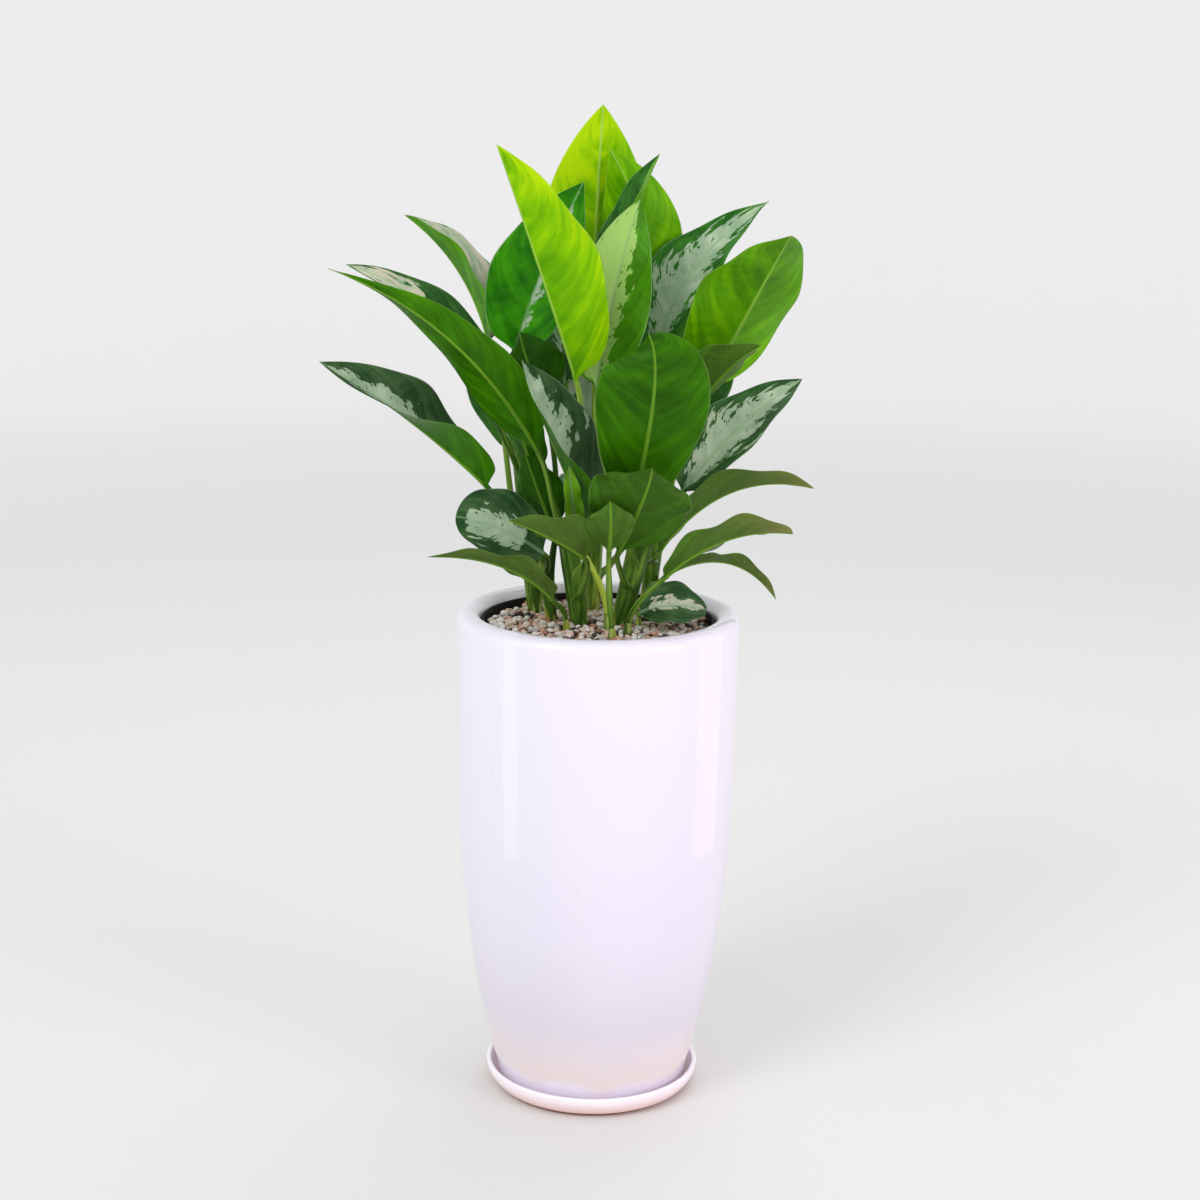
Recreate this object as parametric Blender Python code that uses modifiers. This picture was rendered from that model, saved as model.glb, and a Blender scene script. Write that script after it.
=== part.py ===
"""Potted chinese evergreen: a tall glazed pot on its saucer, a grower's pot with soil and gravel,
canes, and leaves that each grow as one piece with their stalk. Metres, +Z up, origin on the floor
in the middle of the saucer's foot, front towards -Y."""

import math

import bmesh
import bpy
import numpy as np
from mathutils import Matrix, Vector

MM = 0.001
GAP = 0.3 * MM

# Ceramic pot and its saucer
SAUCER_RADIUS = 116 * MM
SAUCER_FOOT_RADIUS = 102 * MM
SAUCER_HEIGHT = 24 * MM
SAUCER_WALL = 5 * MM
SAUCER_FLOOR = 8 * MM
POT_HEIGHT = 531 * MM
POT_FOOT_Z = SAUCER_FLOOR + GAP
POT_FOOT_RADIUS = 100 * MM
POT_FLOOR = 16 * MM
POT_WALL = 11 * MM
POT_MOUTH_RADIUS = 124 * MM
POT_THROAT_Z = 500 * MM
DRAIN_RADIUS = 10 * MM
# outer wall as (radius, height) in millimetres, from below the lip down to the foot
POT_OUTLINE = (
    (150, 519), (149.5, 490), (149, 455), (148.5, 405), (148, 350), (147, 295), (144.5, 255),
    (140.5, 215), (135, 168), (128.5, 125), (120, 84), (112, 50), (106, 28),
)

# What the pot holds
NURSERY_RIM_Z = 522 * MM
NURSERY_RADIUS = POT_MOUTH_RADIUS - 1 * MM
NURSERY_HEIGHT = 230 * MM
NURSERY_FOOT_RADIUS = 104 * MM
NURSERY_WALL = 2 * MM
NURSERY_HOLE_RADIUS = 8 * MM
GRAVEL_TOP_Z = 517 * MM
GRAVEL_DEPTH = 14 * MM
CANE_DEPTH = 60 * MM
SHOOT_DEPTH = 5  # a thin shoot roots less deep than a cane: this many times its radius
ROUND_STEPS = 36
# heights at which the pot's inner wall and the clay pebbles follow its outside
INNER_HEIGHTS = [height * MM for height in (50, 100, 170, 240, 300, 400, 470)]

# Canes: foot (x, y) at the gravel, top (x, y, z), radius; millimetres
CANES = {
    "cane_left_back": ((-68, 52), (-74, 50, 606), 8),
    "cane_left": ((-50, 14), (-60, 10, 580), 6),
    "cane_middle": ((-20, 0), (-30, -6, 612), 9),
    "cane_right": ((24, 2), (44, 2, 604), 10),
    "cane_right_back": ((52, 48), (62, 52, 622), 8),
    "cane_back": ((-8, 58), (-6, 62, 640), 9),
    "shoot_front": ((15, -66), (14, -67, 527), 4.5),
    "shoot_front_left": ((-33, -30), (-34, -32, 527), 4),
    "shoot_middle": ((10, -22), (9, -23, 530), 4.5),
    "shoot_right": ((30, -44), (32, -46, 528), 4.5),
    "shoot_far_right": ((42, -14), (43, -16, 527), 4),
}

# Leaves: cane, height of the seat on it (0 is the cane's own tip), then the blade's neck, middle and
# tip, the way its upper face looks, width, fold (degrees each half lifts), cup (lift of the margins)
# and twist (degrees from neck to tip), and its own outline where it isn't BLADE_OUTLINE; millimetres
LEAVES = {
    "leaf_top": ("cane_back", 0, (-10, 98, 826), (-8, 98, 943), (-3, 86, 1052),
        (0, 1, 0.2), 117, 8, 4, 0),
    "leaf_top_right": ("cane_back", 622, (42, 82, 850), (38, 77, 930), (4, 72, 1007),
        (-0.1, 0.95, 0.1), 88, 12, 4, 0),
    "leaf_top_folded": ("cane_back", 604, (8, 28, 822), (26, 38, 922), (56, 44, 1003),
        (-0.7, -0.35, 0.5), 60, 32, 4, 0),
    "leaf_top_dark": ("cane_left_back", 598, (-92, 42, 796), (-62, 46, 886), (-22, 54, 973),
        (-0.35, -0.9, 0.3), 104, 14, 4, 0),
    "leaf_bright": ("cane_middle", 0, (-26, -30, 776), (-67, -75, 904), (-104, -120, 1013),
        (0.7, 0.7, 0.2), 116, 36, 4, 0),
    "leaf_silver": ("cane_right", 590, (-6, -8, 767), (12, -6, 868), (36, 12, 958),
        (-0.1, -0.95, 0.2), 84, 12, 4, 0),
    "leaf_silver_right": ("cane_right_back", 0, (56, 30, 800), (95, 65, 885), (175, 112, 954),
        (-0.4, -0.8, 0.5), 84, 14, 4, 0, 0.6, 1.15),
    "leaf_bright_right": ("cane_right", 0, (106, -8, 766), (154, -50, 868), (181, -100, 930),
        (-0.4, 0.9, 0.1), 112, 10, 6, 0),
    "leaf_cupped_right": ("cane_right", 601, (104, -30, 759), (127, -62, 795), (157, -95, 823),
        (-0.2, 0.5, 0.85), 72, 20, 6, 0),
    "leaf_variegated_right": ("cane_right_back", 596, (86, 18, 654), (146, 48, 720), (216, 96, 767),
        (-0.4, -0.7, 0.6), 78, 12, 4, 0),
    "leaf_round": ("cane_right", 574, (34, -55, 655), (51, -125, 776), (45, -112, 833),
        (0, 1, 0.1), 114, 8, 6, 0, 0.5, 0.62),
    "leaf_broad_low": ("cane_right", 552, (20, -68, 608), (43, -122, 672), (51, -116, 702),
        (0, 0.95, 0.3), 106, 10, 6, 0),
    "leaf_long_right": ("cane_right_back", 572, (62, -6, 594), (135, 6, 657), (226, 24, 660),
        (-0.1, 0.45, 0.9), 74, 14, 4, 0),
    "leaf_low_right": ("shoot_right", 0, (66, -66, 579), (127, -85, 624), (194, -100, 635),
        (-0.1, 0.5, 0.85), 58, 14, 4, 0, 0.6, 0.5),
    "leaf_drooping_right": ("cane_right_back", 548, (84, 26, 571), (144, 48, 572), (193, 64, 530),
        (0.1, 0.3, 0.9), 36, 14, 4, 0),
    "leaf_on_gravel": ("shoot_far_right", 0, (44, -32, 535), (73, -30, 543), (114, -18, 536),
        (-0.1, -0.66, 0.75), 56, 8, 3, 0, 0.6, 0.6),
    "leaf_long_left": ("cane_middle", 588, (-66, -40, 708), (-154, -90, 825), (-267, -120, 893),
        (-0.03, 0.93, 0.34), 63, 18, 4, 30, 0.5, 1.4),
    "leaf_behind_left": ("cane_left_back", 0, (-114, 4, 746), (-168, 12, 834), (-266, 20, 887),
        (0.45, -0.6, 0.5), 54, 10, 4, 0),
    "leaf_inner_left": ("cane_left_back", 576, (-70, 14, 672), (-84, 16, 716), (-94, 18, 750),
        (0.4, 0.8, 0.3), 46, 14, 4, 0),
    "leaf_upper_left": ("cane_left_back", 540, (-121, 76, 803), (-155, 92, 878), (-213, 108, 934),
        (0.55, -0.15, 0.8), 70, 38, 4, 0),
    "leaf_twisted_left": ("cane_left", 0, (-116, -22, 663), (-193, -55, 736), (-280, -90, 799),
        (0.5, 0.35, 0.8), 86, 36, 4, 70),
    "leaf_teal": ("cane_middle", 564, (-11, -42, 631), (-54, -78, 733), (-79, -110, 806),
        (0.8, -0.2, 0.5), 94, 38, 4, 38, 0.42, 0.95),
    "leaf_round_left": ("cane_left", 560, (-58, -30, 596), (-103, -44, 625), (-148, -48, 637),
        (-0.1, -0.75, 0.65), 80, 10, 4, 0, 0.6, 0.55),
    "leaf_small_dark": ("cane_middle", 560, (-50, -4, 620), (-65, -10, 660), (-78, -12, 697),
        (0.2, 0.95, 0.2), 52, 10, 4, 0),
    "leaf_spear": ("shoot_middle", 0, (-23, -64, 624), (-28, -83, 663), (-32, -93, 699),
        (0.25, -0.95, 0.1), 20, 12, 2, 0, 0.6, 0.75),
    "leaf_boat": ("cane_middle", 540, (-16, -75, 602), (-47, -112, 628), (-90, -130, 650),
        (0.1, 0.6, 0.8), 72, 24, 4, 0, 0.4, 0.95),
    "leaf_small_front": ("shoot_front", 0, (10, -92, 614), (11, -128, 647), (10, -126, 670),
        (0, 1, 0.2), 50, 12, 4, 0),
    "leaf_low_left": ("shoot_front_left", 0, (-48, -50, 552), (-100, -84, 594), (-172, -112, 608),
        (0.1, 0.5, 0.85), 42, 14, 4, 0, 0.5, 0.95),
    "leaf_cupped_left": ("cane_left", 548, (-62, -6, 752), (-76, -16, 792), (-86, 4, 822),
        (0.1, 0.95, 0.3), 72, 14, 6, 0),
    "leaf_rear_left": ("cane_left_back", 558, (-92, 98, 680), (-120, 138, 752), (-150, 190, 788),
        (0.3, -0.6, 0.7), 84, 12, 4, 0),
    "leaf_rear": ("cane_back", 586, (-16, 112, 700), (-20, 158, 795), (-24, 215, 850),
        (0, -0.6, 0.8), 100, 10, 4, 0),
    "leaf_rear_high": ("cane_back", 566, (20, 112, 770), (26, 128, 870), (18, 134, 955),
        (0, -0.95, 0.3), 92, 10, 4, 0),
    "leaf_rear_middle": ("cane_right_back", 582, (44, 120, 720), (52, 166, 782), (64, 218, 815),
        (-0.1, -0.6, 0.8), 84, 12, 4, 0),
    "leaf_rear_right": ("cane_right_back", 558, (86, 100, 685), (112, 138, 757), (142, 186, 800),
        (-0.3, -0.6, 0.7), 84, 12, 4, 0),
    "leaf_rear_low_left": ("cane_left_back", 534, (-82, 92, 585), (-102, 125, 612), (-125, 168, 604),
        (0.2, -0.5, 0.85), 66, 12, 4, 0),
    "leaf_rear_low_right": ("cane_back", 548, (34, 100, 590), (54, 124, 612), (78, 156, 610),
        (0, -0.5, 0.85), 62, 12, 4, 0),
    "leaf_rear_arched_left": ("cane_back", 626, (-40, 120, 755), (-60, 166, 846), (-84, 214, 890),
        (-0.2, -0.6, 0.8), 88, 12, 4, 0),
    "leaf_rear_arched_right": ("cane_right_back", 606, (60, 118, 765), (86, 160, 846), (114, 206, 888),
        (0.2, -0.6, 0.8), 88, 12, 4, 0),
    "leaf_rear_low": ("cane_back", 530, (-10, 118, 598), (-14, 165, 634), (-20, 214, 630),
        (0, -0.5, 0.85), 74, 12, 4, 0),
}

STALK_RADIUS = 2.8 * MM
STALK_FOOT_RADIUS = 4.2 * MM
STALK_TAPER_END = 0.625  # share of the stalk at which it has thinned to its upper radius
STALK_LEAN = 0.35  # how far a stalk leans out as it leaves the side of a cane
STALK_FOOT_REACH = 0.4  # lengths of the curve's two handles, as shares of the span
STALK_NECK_REACH = 0.3
SEAT_NEST = 0.98  # flat-sided rods sit a little closer than round ones would
BLADE_THICKNESS = 1.0 * MM
RIB_THICKNESS = 2.6 * MM
TIP_RADIUS = 0.6 * MM
RIB_TAPER = 0.8  # share of its thickness that the midrib loses towards the tip
# across a blade: share of the half width, and the side of the blade that the point lies on
BLADE_SECTION = ((-1, 0), (-0.5, 1), (0, 1), (0.5, 1), (1, 0), (0.5, -1), (0, -1), (-0.5, -1))
BLADE_OUTLINE = (0.6, 0.95)  # powers of the width's rise from the neck and of its fall to the tip
STALK_STATIONS = (0, 0.25, 0.5, 0.75)
BLADE_STATIONS = (0.0, 0.04, 0.14, 0.3, 0.5, 0.7, 0.87, 1.0)


def unit(v):
    return v / np.linalg.norm(v)


def bezier(points, t):
    """Point and direction of a Bezier curve of any degree."""
    level = [np.asarray(p, float) for p in points]
    while len(level) > 2:
        level = [a + (b - a) * t for a, b in zip(level, level[1:])]
    a, b = level
    return a + (b - a) * t, unit(b - a)


def blade_width(u, rise, fall):
    """Half width of an oval blade along its midrib, as a share of the widest."""
    peak = (rise / (rise + fall)) ** rise * (fall / (rise + fall)) ** fall
    return (max(u, 0) ** rise) * (max(1 - u, 0) ** fall) / peak


def midrib(neck, middle, tip):
    """Control points of the midrib, which passes through the middle point."""
    return neck, 2 * middle - (neck + tip) / 2, tip


def cane_axis(cane):
    (x, y), top, radius = CANES[cane]
    foot = np.array((x, y, GRAVEL_TOP_Z / MM)) * MM
    return foot, np.array(top) * MM, radius * MM


def stalk(cane, seat, rib):
    """Control points of the stalk, from its seat on the cane up to the neck of the blade."""
    foot, top, radius = cane_axis(cane)
    along = unit(top - foot)
    neck = rib[0]
    into = unit(rib[1] - rib[0])
    if seat:
        centre = foot + along * (seat * MM - foot[2]) / along[2]
        out = neck - centre
        out = unit(out - along * out.dot(along))
        start = centre + out * (SEAT_NEST * (radius + STALK_FOOT_RADIUS) + GAP)
        leave = unit(along + STALK_LEAN * out)
    else:
        start = top + along * GAP
        leave = along
    reach = np.linalg.norm(neck - start)
    foot_handle = start + leave * reach * STALK_FOOT_REACH
    neck_handle = neck - into * reach * STALK_NECK_REACH
    return start, foot_handle, neck_handle, neck


def leaf_rings(spec):
    """Closed cross-sections of one leaf, foot of the stalk to the blade's tip."""
    cane, seat, neck, middle, tip, face, width, fold, cup, twist, *outline = spec
    neck, middle, tip = (np.array(p) * MM for p in (neck, middle, tip))
    rib = midrib(neck, middle, tip)
    stem = stalk(cane, seat, rib)
    fold = math.radians(fold)
    blade = []
    for u in BLADE_STATIONS:
        at, ahead = bezier(rib, u)
        normal = unit(np.array(face, float) - ahead * np.dot(face, ahead))
        side = np.cross(ahead, normal)
        turn = math.radians(twist) * u * u * (3 - 2 * u)
        across = side * math.cos(turn) + normal * math.sin(turn)
        upward = normal * math.cos(turn) - side * math.sin(turn)
        spread = blade_width(u, *(outline or BLADE_OUTLINE))
        half = max(width * MM / 2 * spread, TIP_RADIUS if u else STALK_RADIUS)
        blade.append(blade_ring(at, across, upward, half, fold, cup * MM * spread, u))
    ahead = bezier(rib, 0)[1]
    normal = unit(np.array(face, float) - ahead * np.dot(face, ahead))
    rings = []
    for t in reversed(STALK_STATIONS):
        at, ahead = bezier(stem, t)
        normal = unit(normal - ahead * normal.dot(ahead))
        thinned = min(1, t / STALK_TAPER_END)
        radius = STALK_FOOT_RADIUS + (STALK_RADIUS - STALK_FOOT_RADIUS) * thinned
        rings.append(round_ring(at, np.cross(ahead, normal), normal, radius))
    return rings[::-1] + blade


def round_ring(at, across, upward, radius):
    turns = [math.radians(180 - 45 * k) for k in range(8)]
    return [at + (across * math.cos(a) + upward * math.sin(a)) * radius for a in turns]


def blade_ring(at, across, upward, half, fold, cup, u):
    """Left margin, over the upper face to the right margin, and back below."""
    if u == 0:
        return round_ring(at, across, upward, STALK_RADIUS)
    thin = min(BLADE_THICKNESS, half) / 2
    rib = min(RIB_THICKNESS * (1 - RIB_TAPER * u), half) / 2
    ring = []
    for share, face in BLADE_SECTION:
        reach = half * share
        below_rib = face < 0 and share == 0
        depth = rib if below_rib else thin
        rise = abs(reach) * math.sin(fold) + cup * share * share + face * depth
        ring.append(at + across * reach * math.cos(fold) + upward * rise)
    return ring


def clear_scene():
    for obj in list(bpy.data.objects):
        bpy.data.objects.remove(obj, do_unlink=True)


def collection(name, hidden=False):
    group = bpy.data.collections.new(name)
    bpy.context.scene.collection.children.link(group)
    group.hide_render = hidden
    return group


def material(name, colour, roughness):
    finish = bpy.data.materials.new(name)
    finish.use_nodes = True
    shader = finish.node_tree.nodes["Principled BSDF"]
    shader.inputs["Base Color"].default_value = (*colour, 1)
    shader.inputs["Roughness"].default_value = roughness
    shader.inputs["Metallic"].default_value = 0
    return finish


def add_object(name, mesh, group, finish=None):
    obj = bpy.data.objects.new(name, mesh)
    group.objects.link(obj)
    if finish:
        mesh.materials.append(finish)
    return obj


def smooth(mesh):
    mesh.shade_smooth()
    mesh.set_sharp_from_angle(angle=math.radians(40))


def turned(name, outline, group, finish, ring):
    """A solid of revolution about Z. Its outline runs down the outer side; a ring's outline closes
    on itself, any other runs from the top centre to the bottom centre."""
    mesh = bpy.data.meshes.new(name)
    edges = [(k, k + 1) for k in range(len(outline) - 1)]
    if ring:
        edges.append((len(outline) - 1, 0))
    mesh.from_pydata([(radius, 0, z) for radius, z in outline], edges, [])
    obj = add_object(name, mesh, group, finish)
    screw = obj.modifiers.new("turn", "SCREW")
    screw.steps = ROUND_STEPS
    screw.render_steps = ROUND_STEPS
    screw.use_merge_vertices = True
    screw.merge_threshold = 0.0001
    screw.use_smooth_shade = True
    return obj


def rod(bm, start, end, start_radius, end_radius, sides=12):
    """Adds a tapered rod between two points."""
    axis = Vector(end) - Vector(start)
    tilt = Vector((0, 0, 1)).rotation_difference(axis).to_matrix().to_4x4()
    place = Matrix.Translation((Vector(start) + Vector(end)) / 2) @ tilt
    bmesh.ops.create_cone(
        bm, cap_ends=True, segments=sides, radius1=start_radius, radius2=end_radius,
        depth=axis.length, matrix=place,
    )


def finish_bmesh(bm, name, group, finish=None):
    mesh = bpy.data.meshes.new(name)
    bm.to_mesh(mesh)
    bm.free()
    smooth(mesh)
    return add_object(name, mesh, group, finish)


def lip_arc():
    """The rounded lip, from the mouth over the top to the outer wall."""
    outer, low = (value * MM for value in POT_OUTLINE[0])
    centre = (outer + POT_MOUTH_RADIUS) / 2
    reach = (outer - POT_MOUTH_RADIUS) / 2
    turns = [math.radians(180 - 22.5 * k) for k in range(8)]
    return [(centre + reach * math.cos(a), low + (POT_HEIGHT - low) * math.sin(a)) for a in turns]


def inner_wall(z):
    """Radius of the pot's inside at height z."""
    heights = [height * MM for _, height in reversed(POT_OUTLINE)]
    radii = [radius * MM for radius, _ in reversed(POT_OUTLINE)]
    return float(np.interp(z, heights, radii)) - POT_WALL


def nursery_wall(z):
    """Outer radius of the grower's pot at height z."""
    share = (z - NURSERY_RIM_Z + NURSERY_HEIGHT) / NURSERY_HEIGHT
    return NURSERY_FOOT_RADIUS + (NURSERY_RADIUS - NURSERY_FOOT_RADIUS) * share


def make_saucer(group, finish):
    outline = [
        (0, SAUCER_FLOOR),
        (SAUCER_FOOT_RADIUS, SAUCER_FLOOR),
        (SAUCER_RADIUS - SAUCER_WALL - 1 * MM, SAUCER_HEIGHT * 0.75),
        (SAUCER_RADIUS - SAUCER_WALL, SAUCER_HEIGHT - 1 * MM),
        (SAUCER_RADIUS - SAUCER_WALL / 2, SAUCER_HEIGHT),
        (SAUCER_RADIUS, SAUCER_HEIGHT - 1 * MM),
        (SAUCER_RADIUS - 1 * MM, SAUCER_HEIGHT * 0.6),
        (SAUCER_FOOT_RADIUS + 5 * MM, 4 * MM),
        (SAUCER_FOOT_RADIUS, 0),
        (0, 0),
    ]
    return turned("saucer", outline, group, finish, ring=False)


def make_pot(group, finish):
    outer = [(radius * MM, z * MM) for radius, z in POT_OUTLINE]
    floor_z = POT_FOOT_Z + POT_FLOOR
    foot = [(POT_FOOT_RADIUS, POT_FOOT_Z), (DRAIN_RADIUS, POT_FOOT_Z), (DRAIN_RADIUS, floor_z)]
    inside = [(inner_wall(floor_z + 4 * MM) - 2 * MM, floor_z)]
    inside += [(inner_wall(z), z) for z in INNER_HEIGHTS]
    throat = [(POT_MOUTH_RADIUS, POT_THROAT_Z)]
    outline = lip_arc() + outer + foot + inside + throat
    return turned("ceramic_pot", outline, group, finish, ring=True)


def make_nursery_pot(group, finish):
    foot_z = NURSERY_RIM_Z - NURSERY_HEIGHT
    floor_z = foot_z + NURSERY_WALL
    outline = [
        (NURSERY_RADIUS - NURSERY_WALL, NURSERY_RIM_Z),
        (NURSERY_RADIUS, NURSERY_RIM_Z),
        (NURSERY_FOOT_RADIUS, foot_z),
        (NURSERY_HOLE_RADIUS, foot_z),
        (NURSERY_HOLE_RADIUS, floor_z),
        (nursery_wall(floor_z) - NURSERY_WALL, floor_z),
    ]
    return turned("nursery_pot", outline, group, finish, ring=True)


def make_filler(group, finish):
    """Clay pebbles as one mass, from the pot's floor up to the grower's pot."""
    top = NURSERY_RIM_Z - NURSERY_HEIGHT - GAP
    low = POT_FOOT_Z + POT_FLOOR + GAP
    heights = [top] + [z for z in reversed(INNER_HEIGHTS) if z < top] + [low + 4 * MM]
    side = [(inner_wall(z) - 1 * MM, z) for z in heights]
    foot = (inner_wall(low + 4 * MM) - 4 * MM, low)
    return turned("clay_pebbles", [(0, top)] + side + [foot, (0, low)], group, finish, ring=False)


def inside_nursery(z):
    return nursery_wall(z) - NURSERY_WALL - GAP


def make_root_ball(group, finish, holes):
    top = GRAVEL_TOP_Z - GRAVEL_DEPTH - GAP
    low = NURSERY_RIM_Z - NURSERY_HEIGHT + NURSERY_WALL + GAP
    outline = [(0, top), (inside_nursery(top), top), (inside_nursery(low), low), (0, low)]
    return drilled(turned("root_ball", outline, group, finish, ring=False), holes)


def make_gravel(group, finish, holes):
    low = GRAVEL_TOP_Z - GRAVEL_DEPTH
    outline = [
        (0, GRAVEL_TOP_Z),
        (inside_nursery(GRAVEL_TOP_Z), GRAVEL_TOP_Z),
        (inside_nursery(low), low),
        (0, low),
    ]
    return drilled(turned("gravel", outline, group, finish, ring=False), holes)


def drilled(obj, holes):
    cut = obj.modifiers.new("cane holes", "BOOLEAN")
    cut.operation = "DIFFERENCE"
    cut.solver = "EXACT"
    cut.object = holes
    return obj


def cane_foot(cane):
    foot, top, radius = cane_axis(cane)
    along = unit(top - foot)
    return foot - along * min(CANE_DEPTH, SHOOT_DEPTH * radius), along


def make_cane_holes(group):
    """One cutter for all the canes, a little wider and longer than each."""
    bm = bmesh.new()
    for cane in CANES:
        foot, along = cane_foot(cane)
        top, radius = cane_axis(cane)[1:]
        rod(bm, foot - along * GAP, top, radius + GAP, radius + GAP)
    cutter = finish_bmesh(bm, "cane_holes", group)
    cutter.hide_render = True
    cutter.display_type = "WIRE"
    return cutter


def make_cane(cane, group, finish):
    bm = bmesh.new()
    foot, _ = cane_foot(cane)
    top, radius = cane_axis(cane)[1:]
    rod(bm, foot, top, radius, radius)
    return finish_bmesh(bm, cane, group, finish)


def make_leaf(name, group, finish):
    """A closed skin lofted through the sections of stalk and blade. Each patch is split along the
    same diagonal above and below, so that the two sides of a thin blade stay parallel."""
    bm = bmesh.new()
    loops = [[bm.verts.new(point) for point in ring] for ring in leaf_rings(LEAVES[name])]
    for near, far in zip(loops, loops[1:]):
        for k, corner in enumerate(near):
            after = (k + 1) % len(near)
            above = k < len(near) // 2
            bm.faces.new((corner, near[after], far[after] if above else far[k]))
            bm.faces.new((corner if above else near[after], far[after], far[k]))
    bm.faces.new(loops[0])
    bm.faces.new(loops[-1])
    bmesh.ops.recalc_face_normals(bm, faces=bm.faces)
    return finish_bmesh(bm, name, group, finish)


def main():
    clear_scene()
    parts = collection("potted_chinese_evergreen")
    cutters = collection("cutters", hidden=True)
    glaze = material("white glaze", (0.86, 0.83, 0.90), 0.12)
    plastic = material("black plastic", (0.012, 0.011, 0.011), 0.45)
    pebbles = material("clay pebbles", (0.35, 0.17, 0.09), 0.95)
    soil = material("soil", (0.035, 0.022, 0.015), 0.95)
    stones = material("gravel", (0.55, 0.47, 0.40), 0.8)
    bark = material("cane", (0.20, 0.32, 0.08), 0.5)
    leaf = material("leaf", (0.05, 0.20, 0.03), 0.35)

    make_saucer(parts, glaze)
    make_pot(parts, glaze)
    make_nursery_pot(parts, plastic)
    make_filler(parts, pebbles)
    holes = make_cane_holes(cutters)
    make_root_ball(parts, soil, holes)
    make_gravel(parts, stones, holes)
    for cane in CANES:
        make_cane(cane, parts, bark)
    for name in LEAVES:
        make_leaf(name, parts, leaf)


main()
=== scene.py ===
import math
import random

import bmesh
import bpy
from mathutils import Matrix, Vector, noise


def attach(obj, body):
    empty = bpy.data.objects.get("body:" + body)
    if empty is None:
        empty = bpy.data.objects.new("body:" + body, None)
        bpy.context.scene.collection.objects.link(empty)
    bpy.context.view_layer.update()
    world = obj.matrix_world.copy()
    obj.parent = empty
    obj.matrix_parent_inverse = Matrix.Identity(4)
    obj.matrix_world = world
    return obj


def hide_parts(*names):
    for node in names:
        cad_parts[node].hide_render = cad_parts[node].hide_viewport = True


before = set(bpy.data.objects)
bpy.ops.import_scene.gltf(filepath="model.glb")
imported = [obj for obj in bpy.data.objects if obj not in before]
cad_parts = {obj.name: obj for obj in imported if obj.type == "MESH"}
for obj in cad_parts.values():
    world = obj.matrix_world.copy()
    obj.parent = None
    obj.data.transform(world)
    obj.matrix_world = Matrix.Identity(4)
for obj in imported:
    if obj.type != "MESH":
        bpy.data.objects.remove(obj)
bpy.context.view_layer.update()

mm = 0.001


# small helpers

def hexColour(code):
    channels = [int(code[k:k + 2], 16) / 255 for k in (1, 3, 5)]
    linear = [c / 12.92 if c <= 0.04045 else ((c + 0.055) / 1.055) ** 2.4 for c in channels]
    return (*linear, 1)


def addNode(tree, kind, inputs=(), stops=(), output=0, **settings):
    # adds one shader node, its inputs given in order or by name, and hands back one of its outputs
    node = tree.nodes.new("ShaderNode" + kind)
    for name, value in settings.items():
        setattr(node, name, value)
    for socket, value in inputs.items() if isinstance(inputs, dict) else enumerate(inputs):
        if isinstance(value, bpy.types.NodeSocket):
            tree.links.new(value, node.inputs[socket])
        else:
            node.inputs[socket].default_value = value
    if stops:  # colour ramp: place and hex colour of each stop
        ramp = node.color_ramp.elements
        while len(ramp) < len(stops):
            ramp.new(0.5)
        for element, (place, code) in zip(ramp, stops):
            element.position = place
            element.color = hexColour(code)
    return node.outputs if output is None else node.outputs[output]


def newMaterial(name, sockets):
    material = bpy.data.materials.new(name)
    material.use_nodes = True
    shader = material.node_tree.nodes["Principled BSDF"]
    for socket, value in sockets.items():
        shader.inputs[socket].default_value = value
    return material, material.node_tree, shader


def smoothStep(x):
    x = min(1, max(0, x))
    return x * x * (3 - 2 * x)


def mix(a, b, share):
    return a + (b - a) * share


def camelName(node):
    first, *rest = node.split("_")
    return first + "".join(word.capitalize() for word in rest)


def makePiece(bm, name, materials, slot, *nodes):
    # turns a finished bmesh into a piece that rides on the pot's body and stands for its solids
    mesh = bpy.data.meshes.new(name)
    bm.to_mesh(mesh)
    bm.free()
    mesh.shade_smooth()
    for material in materials:
        mesh.materials.append(material)
    piece = bpy.data.objects.new(name, mesh)
    bpy.context.scene.collection.objects.link(piece)
    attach(piece, "root")
    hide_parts(*nodes)
    return piece


# camera, floor and light

view = {"place": (0, -2.227, 1.051), "tiltDown": 12.9, "roll": 0.9, "lens": 64.8, "shift": 0.00125}
studio = {"floorRadius": 5.0, "coveRadius": 1.6, "wallHeight": 2.6, "paper": "#e2e2e2",
          "sky": "#f4f5f6", "skyStrength": 0.86}
lamps = {  # place, what it looks at, width and height in metres, power in watts, colour
    "keyLamp": ((-3.0, -3.4, 4.3), (0, 0.5, 0.6), (2.2, 2.2), 96, "#fffdf8"),
    "rightLamp": ((3.4, -2.2, 1.6), (0, 0.5, 0.5), (1.8, 1.8), 46, "#ffeaf2"),
    "topLamp": ((0.5, 1.3, 2.9), (0, 0, 0.8), (1.6, 1.6), 14, "#fbfff2"),
    "leftStrip": ((-0.74, -0.3, 0.55), (0, 0, 0.55), (0.2, 1.1), 0.5, "#ffffff"),
    "rightStrip": ((0.78, 0.1, 0.55), (0, 0, 0.55), (0.4, 1.1), 0.9, "#ffd6e6"),
}
stripsOnly = ("leftStrip", "rightStrip")  # these show only as reflections


def makeCamera():
    camera = bpy.data.objects.new("camera", bpy.data.cameras.new("camera"))
    camera.data.lens = view["lens"]
    camera.data.sensor_width = 36
    camera.data.shift_x = view["shift"]
    tilt = Matrix.Rotation(math.radians(90 - view["tiltDown"]), 4, "X")
    roll = Matrix.Rotation(math.radians(view["roll"]), 4, "Z")
    camera.matrix_world = Matrix.Translation(view["place"]) @ tilt @ roll
    bpy.context.scene.collection.objects.link(camera)
    bpy.context.scene.camera = camera
    bpy.context.scene.view_settings.view_transform = "Standard"


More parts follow.
